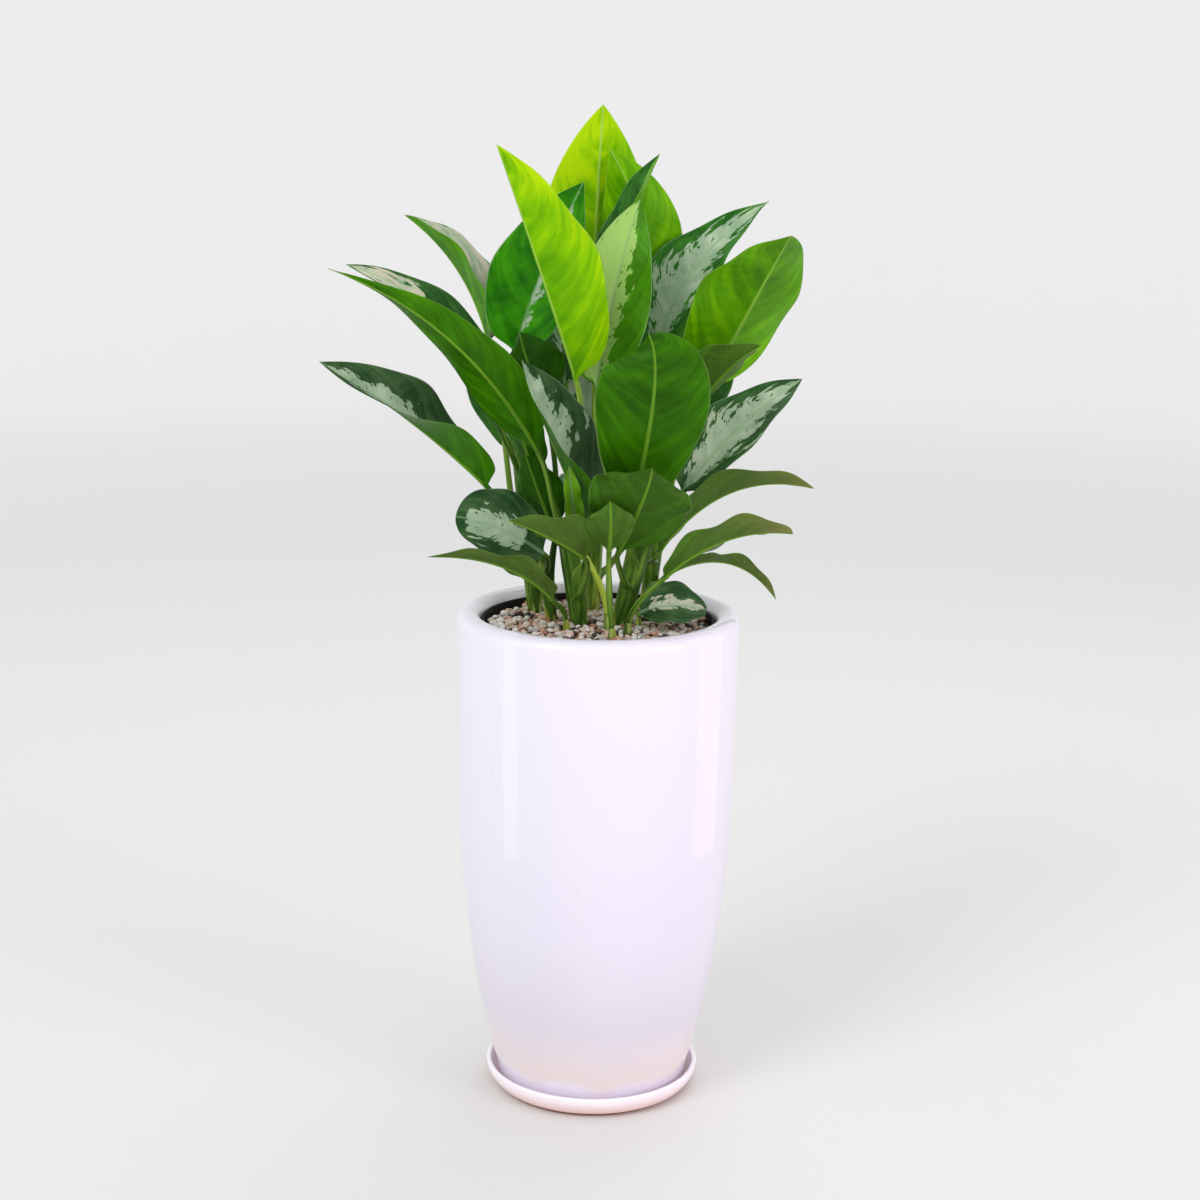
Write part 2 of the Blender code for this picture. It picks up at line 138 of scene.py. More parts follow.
def makeStudio():
    bm = bmesh.new()
    low, cove = studio["floorRadius"], studio["coveRadius"]
    bend = [math.radians(step * 7.5) for step in range(13)]
    outline = [(0, 0), (low * 0.5, 0)]
    outline += [(low + cove * math.sin(a), cove * (1 - math.cos(a))) for a in bend]
    outline.append((low + cove, studio["wallHeight"]))
    spinOutline(bm, outline, 96, ring=False)
    bmesh.ops.reverse_faces(bm, faces=bm.faces)
    mesh = bpy.data.meshes.new("studioFloor")
    bm.to_mesh(mesh)
    bm.free()
    mesh.shade_smooth()
    floor = bpy.data.objects.new("studioFloor", mesh)
    bpy.context.scene.collection.objects.link(floor)
    # matt backdrop paper: no gloss, so it only takes soft shade
    material, tree, shader = newMaterial("backdropPaper", {"Roughness": 0.95, "Specular IOR Level": 0.1})
    place = addNode(tree, "TexCoord", output="Object")
    away = addNode(tree, "VectorMath", (place,), operation="LENGTH", output="Value")
    # the paper is painted lighter away from the centre, up the cove and the wall: painted light that
    # makes up for the shade there
    tint = addNode(tree, "ValToRGB", {"Fac": addNode(tree, "MapRange", (away, 0.5, 6.5))},
                   stops=[(0.0, studio["paper"]), (0.45, "#e8e8e8"), (0.8, "#f8f8f8")])
    tree.links.new(tint, shader.inputs["Base Color"])
    mesh.materials.append(material)


def makeLamps():
    world = bpy.data.worlds.new("studioWorld")
    world.use_nodes = True
    background = world.node_tree.nodes["Background"]
    background.inputs["Color"].default_value = hexColour(studio["sky"])
    background.inputs["Strength"].default_value = studio["skyStrength"]
    bpy.context.scene.world = world
    for name, (place, target, (width, height), power, colour) in lamps.items():
        data = bpy.data.lights.new(name, "AREA")
        data.shape = "RECTANGLE"
        data.size, data.size_y = width, height
        data.energy = power
        data.color = hexColour(colour)[:3]
        lamp = bpy.data.objects.new(name, data)
        aim = Vector(target) - Vector(place)
        lamp.matrix_world = Matrix.Translation(place) @ aim.to_track_quat("-Z", "Y").to_matrix().to_4x4()
        lamp.visible_camera = False
        lamp.visible_diffuse = name not in stripsOnly
        bpy.context.scene.collection.objects.link(lamp)


# turned pieces: pot, saucer and the grower's pot

potShape = {
    "lipTop": 531, "mouth": 124, "throat": 500, "wall": 11,
    "foot": 100, "footHeight": 8.3, "floor": 24.3,
    "outline": ((150, 519), (149.5, 490), (149, 455), (148.5, 405), (148, 350), (147, 295), (144.5, 255),
                (140.5, 215), (135, 168), (128.5, 125), (120, 84), (112, 50), (106, 28)),
    "footRing": ((104, 18), (102.5, 11)), "drain": 10, "steps": 144,
}
saucerShape = {"radius": 116, "foot": 102, "height": 24, "wall": 5, "floor": 8, "steps": 144,
               "bareClay": 3.2}
growerPot = {"rim": 522, "radius": 123, "height": 230, "foot": 104, "wall": 2, "hole": 8, "steps": 96}


def spinOutline(bm, outline, steps, ring):
    # turns an outline of (radius, height) pairs about Z and closes its seam and poles
    verts = [bm.verts.new((radius, 0, z)) for radius, z in outline]
    ends = verts[1:] + verts[:1] if ring else verts[1:]
    edges = [bm.edges.new(pair) for pair in zip(verts, ends)]
    bmesh.ops.spin(bm, geom=verts + edges, cent=(0, 0, 0), axis=(0, 0, 1), angle=math.tau,
                   steps=steps, use_merge=True)
    bmesh.ops.remove_doubles(bm, verts=bm.verts, dist=0.00001)
    bmesh.ops.recalc_face_normals(bm, faces=bm.faces)


def arc(centre, reach, start, end, steps):
    # points of an arc in an outline, from one angle to another in degrees
    turns = [math.radians(mix(start, end, k / steps)) for k in range(steps + 1)]
    return [(centre[0] + reach[0] * math.cos(a), centre[1] + reach[1] * math.sin(a)) for a in turns]


def curveThrough(points, steps):
    # a smooth curve through the points of an outline
    curve = []
    for k in range(len(points) - 1):
        a, b, c, d = (Vector(points[min(max(k + n, 0), len(points) - 1)]) for n in (-1, 0, 1, 2))
        for step in range(steps):
            t = step / steps
            bend = (c - a) * t + (a * 2 - b * 5 + c * 4 - d) * t * t + (b * 3 - a - c * 3 + d) * t ** 3
            curve.append(tuple(b + bend / 2))
    return curve + [tuple(points[-1])]


def inMetres(points):
    return [(radius * mm, z * mm) for radius, z in points]


def makePot(glaze):
    shape = potShape
    side, low = shape["outline"][0]
    middle = (side + shape["mouth"]) / 2
    reach = ((side - shape["mouth"]) / 2, shape["lipTop"] - low)
    outer = curveThrough(shape["outline"] + shape["footRing"], 4)
    foot = arc((shape["foot"], shape["footHeight"] + 2.5), (2.5, 2.5), 0, -90, 4)
    drain = [(shape["drain"], shape["footHeight"]), (shape["drain"], shape["floor"])]
    inner = [(radius - shape["wall"], z) for radius, z in reversed(shape["outline"][2:-1])]
    bowl = [(inner[0][0] - 4, shape["floor"])] + inner + [(shape["mouth"], shape["throat"])]
    inside = curveThrough(bowl, 3)
    lip = arc((middle, low), reach, 180, 0, 20)
    bm = bmesh.new()
    spinOutline(bm, inMetres(lip[:-1] + outer + foot + drain + inside), shape["steps"], ring=True)
    return makePiece(bm, "glazedPot", [glaze], "glaze", "ceramic_pot")


def makeSaucer(glaze, clay):
    shape = saucerShape
    edge = shape["radius"] - shape["wall"] / 2
    rim = arc((edge, shape["height"] - 2), (shape["wall"] / 2, 2), 180, 0, 8)
    inside = curveThrough([(shape["foot"] - 4, shape["floor"]), (shape["foot"] + 4, 11.5),
                           (edge - 3.5, 17), rim[0]], 4)
    outside = curveThrough([rim[-1], (shape["radius"] - 1, 14.5), (shape["foot"] + 7, 5),
                            (shape["foot"] + 1.5, shape["bareClay"])], 4)
    foot = [(shape["foot"] + 0.5, 0.4), (shape["foot"] - 0.5, 0), (shape["foot"] - 6, 0), (0, 0)]
    bm = bmesh.new()
    outline = [(0, shape["floor"])] + inside[:-1] + rim + outside[1:] + foot
    spinOutline(bm, inMetres(outline), shape["steps"], ring=False)
    for face in bm.faces:
        if face.calc_center_median().z < shape["bareClay"] * mm:
            face.material_index = 1
    return makePiece(bm, "glazedSaucer", [glaze, clay], "glaze", "saucer")


def makeGrowerPot(plastic):
    shape = growerPot
    low = shape["rim"] - shape["height"]
    wall = shape["wall"]
    rim = arc((shape["radius"] - wall / 2, shape["rim"] - 1), (wall / 2, 1), 180, 0, 6)
    outline = rim + [(shape["radius"], shape["rim"] - 3), (shape["foot"] + 1, low + 2)]
    outline += arc((shape["foot"] - 1, low + 2), (2, 2), 0, -90, 3)
    outline += [(shape["hole"], low), (shape["hole"], low + wall),
                (shape["foot"] - wall - 1, low + wall)]
    outline.append((shape["foot"] - wall + 1, low + 4))
    bm = bmesh.new()
    spinOutline(bm, inMetres(outline), shape["steps"], ring=True)
    return makePiece(bm, "growerPot", [plastic], "black_plastic", "nursery_pot")


# gravel: a rough bed with loose stones on it

gravel = {
    "top": 517, "radius": 118.5, "bedTop": 513.5, "low": 503.3, "bedRings": 24, "bedSteps": 96,
    "bedRough": 1.2, "spacing": 7.5, "rowStep": 0.87, "jitter": 2.6, "seed": 11, "size": (2.6, 4.6),
    "lift": (-2.2, 1.6), "bury": 0.35, "lean": 0.5, "stretch": ((0.95, 1.3), (0.8, 1.0), (0.6, 0.8)),
    "lump": 0.48, "sides": 8, "rings": 5,
}


def makeGravelBed(soil):
    bm = bmesh.new()
    # the bed is dark potting soil; where it shows in the gaps between the stones its darkness also
    # serves as painted shade
    count = gravel["bedRings"]
    outline = [(gravel["radius"] * k / count, gravel["bedTop"]) for k in range(count + 1)]
    outline += [(gravel["radius"], gravel["low"]), (0, gravel["low"])]
    spinOutline(bm, inMetres(outline), gravel["bedSteps"], ring=False)
    for vert in bm.verts:
        if vert.co.z > (gravel["bedTop"] - 1) * mm:
            vert.co.z += noise.noise(vert.co * 90) * gravel["bedRough"] * mm
    return makePiece(bm, "gravelBed", [soil], "soil", "gravel")


def makeStones(stoneFinish):
    # one row of stones at a time, since a small mesh is much quicker to add to
    rng = random.Random(gravel["seed"])
    bm = bmesh.new()
    rows = int(2 * gravel["radius"] / gravel["spacing"])
    for row in range(-rows, rows + 1):
        strip = bmesh.new()
        tone = strip.verts.layers.float.new("tone")
        for column in range(-rows, rows + 1):
            x = (column + 0.5 * (row % 2)) * gravel["spacing"] + rng.uniform(-1, 1) * gravel["jitter"]
            y = row * gravel["spacing"] * gravel["rowStep"] + rng.uniform(-1, 1) * gravel["jitter"]
            size = rng.uniform(*gravel["size"])
            height = gravel["top"] + rng.uniform(*gravel["lift"]) - size * gravel["bury"]
            turn = Matrix.Rotation(rng.uniform(0, math.tau), 4, "Z")
            turn = turn @ Matrix.Rotation(rng.uniform(-gravel["lean"], gravel["lean"]), 4, "X")
            stretch = Matrix.Diagonal([rng.uniform(*span) for span in gravel["stretch"]] + [1])
            shade = rng.random()
            if math.hypot(x, y) > gravel["radius"] - size * 1.05 or inCane(x, y, size):
                continue
            place = Matrix.Translation(Vector((x, y, height)) * mm) @ turn @ stretch
            made = bmesh.ops.create_uvsphere(strip, u_segments=gravel["sides"], matrix=place,
                                             v_segments=gravel["rings"], radius=size * mm)
            for vert in made["verts"]:
                away = vert.co - place.translation
                vert.co += away * noise.noise(vert.co * 260) * gravel["lump"]
                vert[tone] = shade
        rowMesh = bpy.data.meshes.new("stoneRow")
        strip.to_mesh(rowMesh)
        strip.free()
        bm.from_mesh(rowMesh)
        bpy.data.meshes.remove(rowMesh)
    return makePiece(bm, "gravelStones", [stoneFinish], "gravel", "gravel")


def inCane(x, y, clearance):
    # stones keep clear of the canes where these enter the gravel
    for cane in canes.values():
        if math.hypot(x - cane["foot"][0], y - cane["foot"][1]) < cane["radius"] + clearance * 0.5:
            return True
    return False


# canes

canes = {  # foot on the gravel and top, both in mm
    "cane_left_back": dict(foot=(-68, 52), top=(-74, 50, 606), radius=8),
    "cane_left": dict(foot=(-50, 14), top=(-60, 10, 580), radius=6),
    "cane_middle": dict(foot=(-20, 0), top=(-30, -6, 612), radius=9),
    "cane_right": dict(foot=(24, 2), top=(44, 2, 604), radius=10),
    "cane_right_back": dict(foot=(52, 48), top=(62, 52, 622), radius=8),
    "cane_back": dict(foot=(-8, 58), top=(-6, 62, 640), radius=9),
    "shoot_front": dict(foot=(15, -66), top=(14, -67, 527), radius=4.5),
    "shoot_front_left": dict(foot=(-33, -30), top=(-34, -32, 527), radius=4),
    "shoot_middle": dict(foot=(10, -22), top=(9, -23, 530), radius=4.5),
    "shoot_right": dict(foot=(30, -44), top=(32, -46, 528), radius=4.5),
    "shoot_far_right": dict(foot=(42, -14), top=(43, -16, 527), radius=4),
}
caneLook = {"rows": 36, "around": 24, "sunk": 12, "ringSpacing": 23, "ringHeight": 0.12, "taper": 0.92,
            "tipLength": 9, "tipNarrow": 0.27, "fluting": 0.1}


def tube(bm, rows, around):
    # closed tube along Z from 0 to 1, cut into rows
    bmesh.ops.create_cone(bm, cap_ends=True, segments=around, radius1=1, radius2=1, depth=1,
                          matrix=Matrix.Translation((0, 0, 0.5)))
    uprights = [edge for edge in bm.edges if abs(edge.verts[0].co.z - edge.verts[1].co.z) > 0.5]
    bmesh.ops.subdivide_edges(bm, edges=uprights, cuts=rows - 1, use_grid_fill=True)


def caneAxis(cane):
    foot = Vector((*canes[cane]["foot"], gravel["top"])) * mm
    top = Vector(canes[cane]["top"]) * mm
    return foot, top, canes[cane]["radius"] * mm


def makeCane(cane, finish):
    # scars of fallen leaves ring the cane, and its tip narrows into the youngest stalk
    foot, top, radius = caneAxis(cane)
    along = (top - foot).normalized()
    start = foot - along * caneLook["sunk"] * mm
    span = (top - start).length
    sideways = along.orthogonal().normalized()
    onward = along.cross(sideways)
    bm = bmesh.new()
    tube(bm, caneLook["rows"], caneLook["around"])
    for vert in bm.verts:
        share = vert.co.z
        turn = math.atan2(vert.co.y, vert.co.x)
        ring = abs((share * span / mm / caneLook["ringSpacing"]) % 1 - 0.5) * 2
        swell = caneLook["ringHeight"] * mm * smoothStep((ring - 0.8) / 0.2)
        toTip = (1 - share) * span / mm / caneLook["tipLength"]
        narrow = mix(1, caneLook["taper"], smoothStep(share))
        narrow -= caneLook["tipNarrow"] * smoothStep(1 - toTip)
        reach = radius * narrow + swell * min(1, radius / (8 * mm))
        flutes = Vector((math.cos(turn) * 1.7, math.sin(turn) * 1.7, share * span * 12 + radius * 900))
        bumps = 1 + caneLook["fluting"] * noise.noise(flutes)
        out = sideways * math.cos(turn) + onward * math.sin(turn)
        vert.co = start + along * share * span + out * reach * bumps
    bmesh.ops.recalc_face_normals(bm, faces=bm.faces)
    return makePiece(bm, camelName(cane), [finish], "cane", cane)


# leaves: each is one skin from the sheath on its cane to the tip of the blade

leafForm = {  # shared by all leaves, in mm where it isn't a share
    "sheathRows": 8, "stalkRows": 26, "bladeRows": 72, "around": 44,
    "footRadius": 4.2, "neckRadius": 2.8, "taperEnd": 0.625, "lean": 0.35, "straighten": 0.6,
    "footReach": 0.4, "neckReach": 0.3, "nest": 0.98, "gap": 0.3, "tipHold": 0.62, "channel": 0.3,
    "sheathLoose": (3, 16), "sheathTurn": 84, "sheathThick": 2.6, "sheathDrop": 90,
    "bladeThick": 0.9, "rimThick": 0.4, "tipRadius": 0.5, "ribDepth": 2.0, "ribWidth": 2.3,
    "ribHalf": 2.6, "ribTaper": 1.7, "groove": 0.5, "grooveWidth": 1.6, "quilt": 0.75, "blend": 0.06,
    "veinSpacing": 13, "veinLean": (25, 40),  # side veins lean towards the tip, and bend at the margin
}
leafUsual = {"cup": 4, "twist": 0, "rise": 0.6, "fall": 0.95, "wave": 2.5, "waves": 2.6,
             "glow": (0.35, 0.35), "age": (0, 0), "tilt": 0, "silver": (0.45, 0.45),
             "silverSpan": (0, 1), "deep": 0.6, "pale": 0, "blush": 0}
leaves = {
    # cane, height of the seat on it (0 is the cane's tip), neck, middle and tip of the midrib, the way
    # the upper face looks, width, fold and cup; the painted light and shade on a leaf and its age are
    # given at neck and tip, and silver as its reach on either side of the midrib; tilt paints one half
    # of the blade lighter as painted side light
    "leaf_top": dict(cane="cane_back", seat=0, neck=(-10, 98, 826), middle=(-8, 98, 943),
        tip=(-3, 86, 1052), face=(0, 1, 0.2), width=117, fold=8, glow=(0.74, 0.96), tilt=0.12, wave=2),
    "leaf_top_right": dict(cane="cane_back", seat=622, neck=(42, 82, 850), middle=(38, 77, 930),
        tip=(4, 72, 1007), face=(-0.1, 0.95, 0.1), width=88, fold=12, glow=(0.62, 0.68), wave=3),
    "leaf_top_folded": dict(cane="cane_back", seat=604, neck=(8, 28, 822), middle=(26, 38, 922),
        tip=(56, 44, 1003), face=(-0.7, -0.35, 0.5), width=60, fold=32, glow=(0.5, 0.6), silver=(0, 0),
        deep=0.5),
    "leaf_top_dark": dict(cane="cane_left_back", seat=598, neck=(-92, 42, 796), middle=(-62, 46, 886),
        tip=(-22, 54, 973), face=(-0.35, -0.9, 0.3), width=104, fold=14, glow=(0.3, 0.4),
        silver=(0.02, 0.12), deep=0),
    "leaf_bright": dict(cane="cane_middle", seat=0, neck=(-26, -30, 776), middle=(-67, -75, 904),
        tip=(-104, -120, 1013), face=(0.7, 0.7, 0.2), width=116, fold=36, glow=(0.66, 0.82), tilt=-0.09,
        wave=3),
    "leaf_silver": dict(cane="cane_right", seat=590, neck=(-6, -8, 767), middle=(12, -6, 868),
        tip=(36, 12, 958), face=(-0.1, -0.95, 0.2), width=84, fold=12, glow=(0.5, 0.6),
        silver=(1.6, 0.3), deep=0, pale=0.9, wave=4),
    "leaf_silver_right": dict(cane="cane_right_back", seat=0, neck=(56, 30, 800), middle=(95, 65, 885),
        tip=(175, 112, 954), face=(-0.4, -0.8, 0.5), width=84, fold=14, fall=1.15, glow=(0.5, 0.5),
        silver=(0.6, 0.62), deep=0.45, wave=4.5),
    "leaf_bright_right": dict(cane="cane_right", seat=0, neck=(106, -8, 766), middle=(154, -50, 868),
        tip=(181, -100, 930), face=(-0.4, 0.9, 0.1), width=112, fold=10, cup=6, glow=(0.6, 0.5),
        age=(0, 0.25), wave=4),
    "leaf_cupped_right": dict(cane="cane_right", seat=601, neck=(104, -30, 759), middle=(127, -62, 795),
        tip=(157, -95, 823), face=(-0.2, 0.5, 0.85), width=72, fold=20, cup=6, glow=(0.32, 0.36),
        age=(0.5, 0.6), silver=(0, 0)),
    "leaf_variegated_right": dict(cane="cane_right_back", seat=596, neck=(86, 18, 654),
        middle=(146, 48, 720), tip=(216, 96, 767), face=(-0.4, -0.7, 0.6), width=78, fold=12,
        glow=(0.3, 0.3), silver=(0.58, 0.6), deep=0.9, blush=0.1),
    "leaf_round": dict(cane="cane_right", seat=574, neck=(34, -55, 655), middle=(51, -125, 776),
        tip=(45, -112, 833), face=(0, 1, 0.1), width=114, fold=8, cup=6, rise=0.5, fall=0.62,
        glow=(0.32, 0.24), wave=4),
    "leaf_broad_low": dict(cane="cane_right", seat=552, neck=(20, -68, 608), middle=(43, -122, 672),
        tip=(51, -116, 702), face=(0, 0.95, 0.3), width=106, fold=10, cup=6, glow=(0.25, 0.18),
        age=(0.3, 0.3), silver=(0.5, 0.5), wave=5),
    "leaf_long_right": dict(cane="cane_right_back", seat=572, neck=(62, -6, 594), middle=(135, 6, 657),
        tip=(226, 24, 660), face=(-0.1, 0.45, 0.9), width=74, fold=14, glow=(0.24, 0.34),
        age=(0.35, 0.95), wave=4),
    "leaf_low_right": dict(cane="shoot_right", seat=0, neck=(66, -66, 579), middle=(127, -85, 624),
        tip=(194, -100, 635), face=(-0.1, 0.5, 0.85), width=58, fold=14, fall=0.5, glow=(0.27, 0.36),
        age=(0.4, 1), wave=4),
    "leaf_drooping_right": dict(cane="cane_right_back", seat=548, neck=(84, 26, 571),
        middle=(144, 48, 572), tip=(193, 64, 530), face=(0.1, 0.3, 0.9), width=36, fold=14,
        glow=(0.3, 0.3), age=(0.6, 0.9)),
    "leaf_on_gravel": dict(cane="shoot_far_right", seat=0, neck=(44, -32, 535), middle=(73, -30, 543),
        tip=(114, -18, 536), face=(-0.1, -0.66, 0.75), width=56, fold=8, cup=3, fall=0.6,
        silver=(0.34, 0.14), silverSpan=(0.15, 1), deep=1, blush=0.6),
    "leaf_long_left": dict(cane="cane_middle", seat=588, neck=(-66, -40, 708), middle=(-154, -90, 825),
        tip=(-267, -120, 893), face=(-0.03, 0.93, 0.34), width=63, fold=18, twist=30, rise=0.5,
        fall=1.4, glow=(0.34, 0.34), silver=(0.9, 0.9), silverSpan=(0.5, 0.9), deep=0.7, blush=0.7),
    "leaf_behind_left": dict(cane="cane_left_back", seat=0, neck=(-114, 4, 746), middle=(-168, 12, 834),
        tip=(-266, 20, 887), face=(0.45, -0.6, 0.5), width=54, fold=10, glow=(0.3, 0.4),
        silver=(0.9, 0.9), silverSpan=(0.62, 1), deep=0.8, blush=0.8),
    "leaf_inner_left": dict(cane="cane_left_back", seat=576, neck=(-70, 14, 672), middle=(-84, 16, 716),
        tip=(-94, 18, 750), face=(0.4, 0.8, 0.3), width=46, fold=14, glow=(0.3, 0.3)),
    "leaf_upper_left": dict(cane="cane_left_back", seat=540, neck=(-121, 76, 803),
        middle=(-155, 92, 878), tip=(-213, 108, 934), face=(0.55, -0.15, 0.8), width=70, fold=38,
        glow=(0.45, 0.5), silver=(1.5, 1.5), blush=0.8),
    "leaf_twisted_left": dict(cane="cane_left", seat=0, neck=(-116, -22, 663), middle=(-193, -55, 736),
        tip=(-280, -90, 799), face=(0.5, 0.35, 0.8), width=86, fold=36, twist=70, glow=(0.36, 0.3),
        silver=(0.4, 0.4), silverSpan=(0.45, 1), deep=1),
    "leaf_teal": dict(cane="cane_middle", seat=564, neck=(-11, -42, 631), middle=(-54, -78, 733),
        tip=(-79, -110, 806), face=(0.8, -0.2, 0.5), width=94, fold=38, twist=38, rise=0.42,
        glow=(0.3, 0.3), silver=(1.5, 0.55), silverSpan=(0.3, 1), deep=1),
    "leaf_round_left": dict(cane="cane_left", seat=560, neck=(-58, -30, 596), middle=(-103, -44, 625),
        tip=(-148, -48, 637), face=(-0.1, -0.75, 0.65), width=80, fold=10, fall=0.55, glow=(0.2, 0.2),
        silver=(0.5, 0.45), silverSpan=(0.2, 0.9), deep=1),
    "leaf_small_dark": dict(cane="cane_middle", seat=560, neck=(-50, -4, 620), middle=(-65, -10, 660),
        tip=(-78, -12, 697), face=(0.2, 0.95, 0.2), width=52, fold=10, glow=(0.15, 0.15)),
    "leaf_spear": dict(cane="shoot_middle", seat=0, neck=(-23, -64, 624), middle=(-28, -83, 663),
        tip=(-32, -93, 699), face=(0.25, -0.95, 0.1), width=20, fold=12, cup=2, fall=0.75,
        glow=(0.85, 0.6), silver=(0, 0), deep=0, pale=2.8),
    "leaf_boat": dict(cane="cane_middle", seat=540, neck=(-16, -75, 602), middle=(-47, -112, 628),
        tip=(-90, -130, 650), face=(0.1, 0.6, 0.8), width=72, fold=24, rise=0.4, glow=(0.27, 0.27),
        age=(0.6, 0.7), silver=(0.1, 0.1), wave=4.5),
    "leaf_small_front": dict(cane="shoot_front", seat=0, neck=(10, -92, 614), middle=(11, -128, 647),
        tip=(10, -126, 670), face=(0, 1, 0.2), width=50, fold=12, glow=(0.3, 0.25), age=(0.5, 0.5)),
    "leaf_low_left": dict(cane="shoot_front_left", seat=0, neck=(-48, -50, 552),
        middle=(-100, -84, 594), tip=(-172, -112, 608), face=(0.1, 0.5, 0.85), width=42, fold=14,
        rise=0.5, glow=(0.28, 0.22), age=(0.7, 0.7), silver=(0.4, 0.4), deep=1, wave=4),
    "leaf_cupped_left": dict(cane="cane_left", seat=548, neck=(-62, -6, 752), middle=(-76, -16, 792),
        tip=(-86, 4, 822), face=(0.1, 0.95, 0.3), width=72, fold=14, cup=6, glow=(0.12, 0.12),
        silver=(0.5, 0.5), silverSpan=(0.6, 1)),
    "leaf_rear_left": dict(cane="cane_left_back", seat=558, neck=(-92, 98, 680),
        middle=(-120, 138, 752), tip=(-150, 190, 788), face=(0.3, -0.6, 0.7), width=84, fold=12),
    "leaf_rear": dict(cane="cane_back", seat=586, neck=(-16, 112, 700), middle=(-20, 158, 795),
        tip=(-24, 215, 850), face=(0, -0.6, 0.8), width=100, fold=10),
    "leaf_rear_high": dict(cane="cane_back", seat=566, neck=(20, 112, 770), middle=(26, 128, 870),
        tip=(18, 134, 955), face=(0, -0.95, 0.3), width=92, fold=10),
    "leaf_rear_middle": dict(cane="cane_right_back", seat=582, neck=(44, 120, 720),
        middle=(52, 166, 782), tip=(64, 218, 815), face=(-0.1, -0.6, 0.8), width=84, fold=12),
    "leaf_rear_right": dict(cane="cane_right_back", seat=558, neck=(86, 100, 685),
        middle=(112, 138, 757), tip=(142, 186, 800), face=(-0.3, -0.6, 0.7), width=84, fold=12),
    "leaf_rear_low_left": dict(cane="cane_left_back", seat=534, neck=(-82, 92, 585),
        middle=(-102, 125, 612), tip=(-125, 168, 604), face=(0.2, -0.5, 0.85), width=66, fold=12),
    "leaf_rear_low_right": dict(cane="cane_back", seat=548, neck=(34, 100, 590), middle=(54, 124, 612),
        tip=(78, 156, 610), face=(0, -0.5, 0.85), width=62, fold=12),
    "leaf_rear_arched_left": dict(cane="cane_back", seat=626, neck=(-40, 120, 755),
        middle=(-60, 166, 846), tip=(-84, 214, 890), face=(-0.2, -0.6, 0.8), width=88, fold=12,
        silver=(0.1, 0.1), deep=0.9),
    "leaf_rear_arched_right": dict(cane="cane_right_back", seat=606, neck=(60, 118, 765),
        middle=(86, 160, 846), tip=(114, 206, 888), face=(0.2, -0.6, 0.8), width=88, fold=12),
    "leaf_rear_low": dict(cane="cane_back", seat=530, neck=(-10, 118, 598), middle=(-14, 165, 634),
        tip=(-20, 214, 630), face=(0, -0.5, 0.85), width=74, fold=12),
}


def bladeShare(u, rise, fall):
    # half width of an oval, long-pointed blade along its midrib, as a share of the widest
    peak = (rise / (rise + fall)) ** rise * (fall / (rise + fall)) ** fall
    return max(u, 0) ** rise * max(1 - u, 0) ** fall / peak


def bezierAt(points, t):
    level = list(points)
    while len(level) > 2:
        level = [a.lerp(b, t) for a, b in zip(level, level[1:])]
    return level[0].lerp(level[1], t), (level[1] - level[0]).normalized()


def squareTo(direction, ahead):
    return (direction - ahead * direction.dot(ahead)).normalized()


def leafCurves(leaf):
    # midrib and stalk as curves, with the sheath's seat on the cane
    neck, middle, tip = (Vector(leaf[key]) * mm for key in ("neck", "middle", "tip"))
    rib = (neck, middle * 2 - (neck + tip) / 2, tip)
    foot, top, radius = caneAxis(leaf["cane"])
    along = (top - foot).normalized()
    into = (rib[1] - rib[0]).normalized()
    if leaf["seat"]:
        centre = foot + along * (leaf["seat"] * mm - foot.z) / along.z
        out = squareTo(neck - centre, along)
        spacing = leafForm["nest"] * (radius + leafForm["footRadius"] * mm) + leafForm["gap"] * mm
        start = centre + out * spacing
        straight = (neck - start).normalized()
        leave = (along + out * leafForm["lean"]).normalized().lerp(straight, leafForm["straighten"])
    else:
        centre, out = top, squareTo(neck - top, along)
        start = top + along * leafForm["gap"] * mm
        leave = along
    reach = (neck - start).length
    stem = (start, start + leave * reach * leafForm["footReach"],
            neck - into * reach * leafForm["neckReach"], neck)
    drop = min(leafForm["sheathDrop"] * mm, (start - foot).dot(along) + 4 * mm)
    return rib, stem, {"centre": centre, "along": along, "out": out, "radius": radius, "drop": drop}


def stalkRing(leaf, stem, seat, across, t):
    # a round stalk with a channel along its upper side; its foot wraps the cane as a sheath, which runs
    # on below the seat where t is under 0
    at, ahead = bezierAt(stem, max(t, 0))
    low = max(t, 0)
    reach = (at - seat["centre"]).dot(seat["along"])
    clear = (at - seat["centre"] - seat["along"] * reach).length - seat["radius"]
    near, far = leafForm["sheathLoose"]
    wrap = 1 - smoothStep((clear / mm - near) / (far - near))
    up = squareTo(across.cross(ahead).lerp(-seat["out"], wrap), ahead)
    side = ahead.cross(up)
    radius = mix(leafForm["footRadius"], leafForm["neckRadius"], min(1, low / leafForm["taperEnd"])) * mm
    if not leaf["seat"]:
        radius = mix(radius, seat["radius"] * leafForm["tipHold"], smoothStep(1 - low / 0.45))
    height = seat["centre"] + seat["along"] * (reach + min(t, 0) * seat["drop"])
    narrow = smoothStep(1 + min(t, 0)) ** 0.5
    points = []
    for share, face, turn in leafTurns:
        channel = 1 - leafForm["channel"] * max(0, math.sin(turn)) ** 6
        point = at + side * math.cos(turn) * radius + up * math.sin(turn) * radius * channel
        if leaf["seat"] and wrap > 0:
            swing = math.radians(leafForm["sheathTurn"]) * share * max(narrow, 0.05)
            thick = leafForm["sheathThick"] * mm * math.cos(swing * 1.15)
            thick *= narrow ** 2 if face < 0 else 0
            around = seat["out"] * math.cos(swing) + seat["along"].cross(seat["out"]) * -math.sin(swing)
            sheath = height + around * (seat["radius"] * 1.02 + thick)
            point = sheath if t < 0 else point.lerp(sheath, wrap)
        points.append(point)
    return points


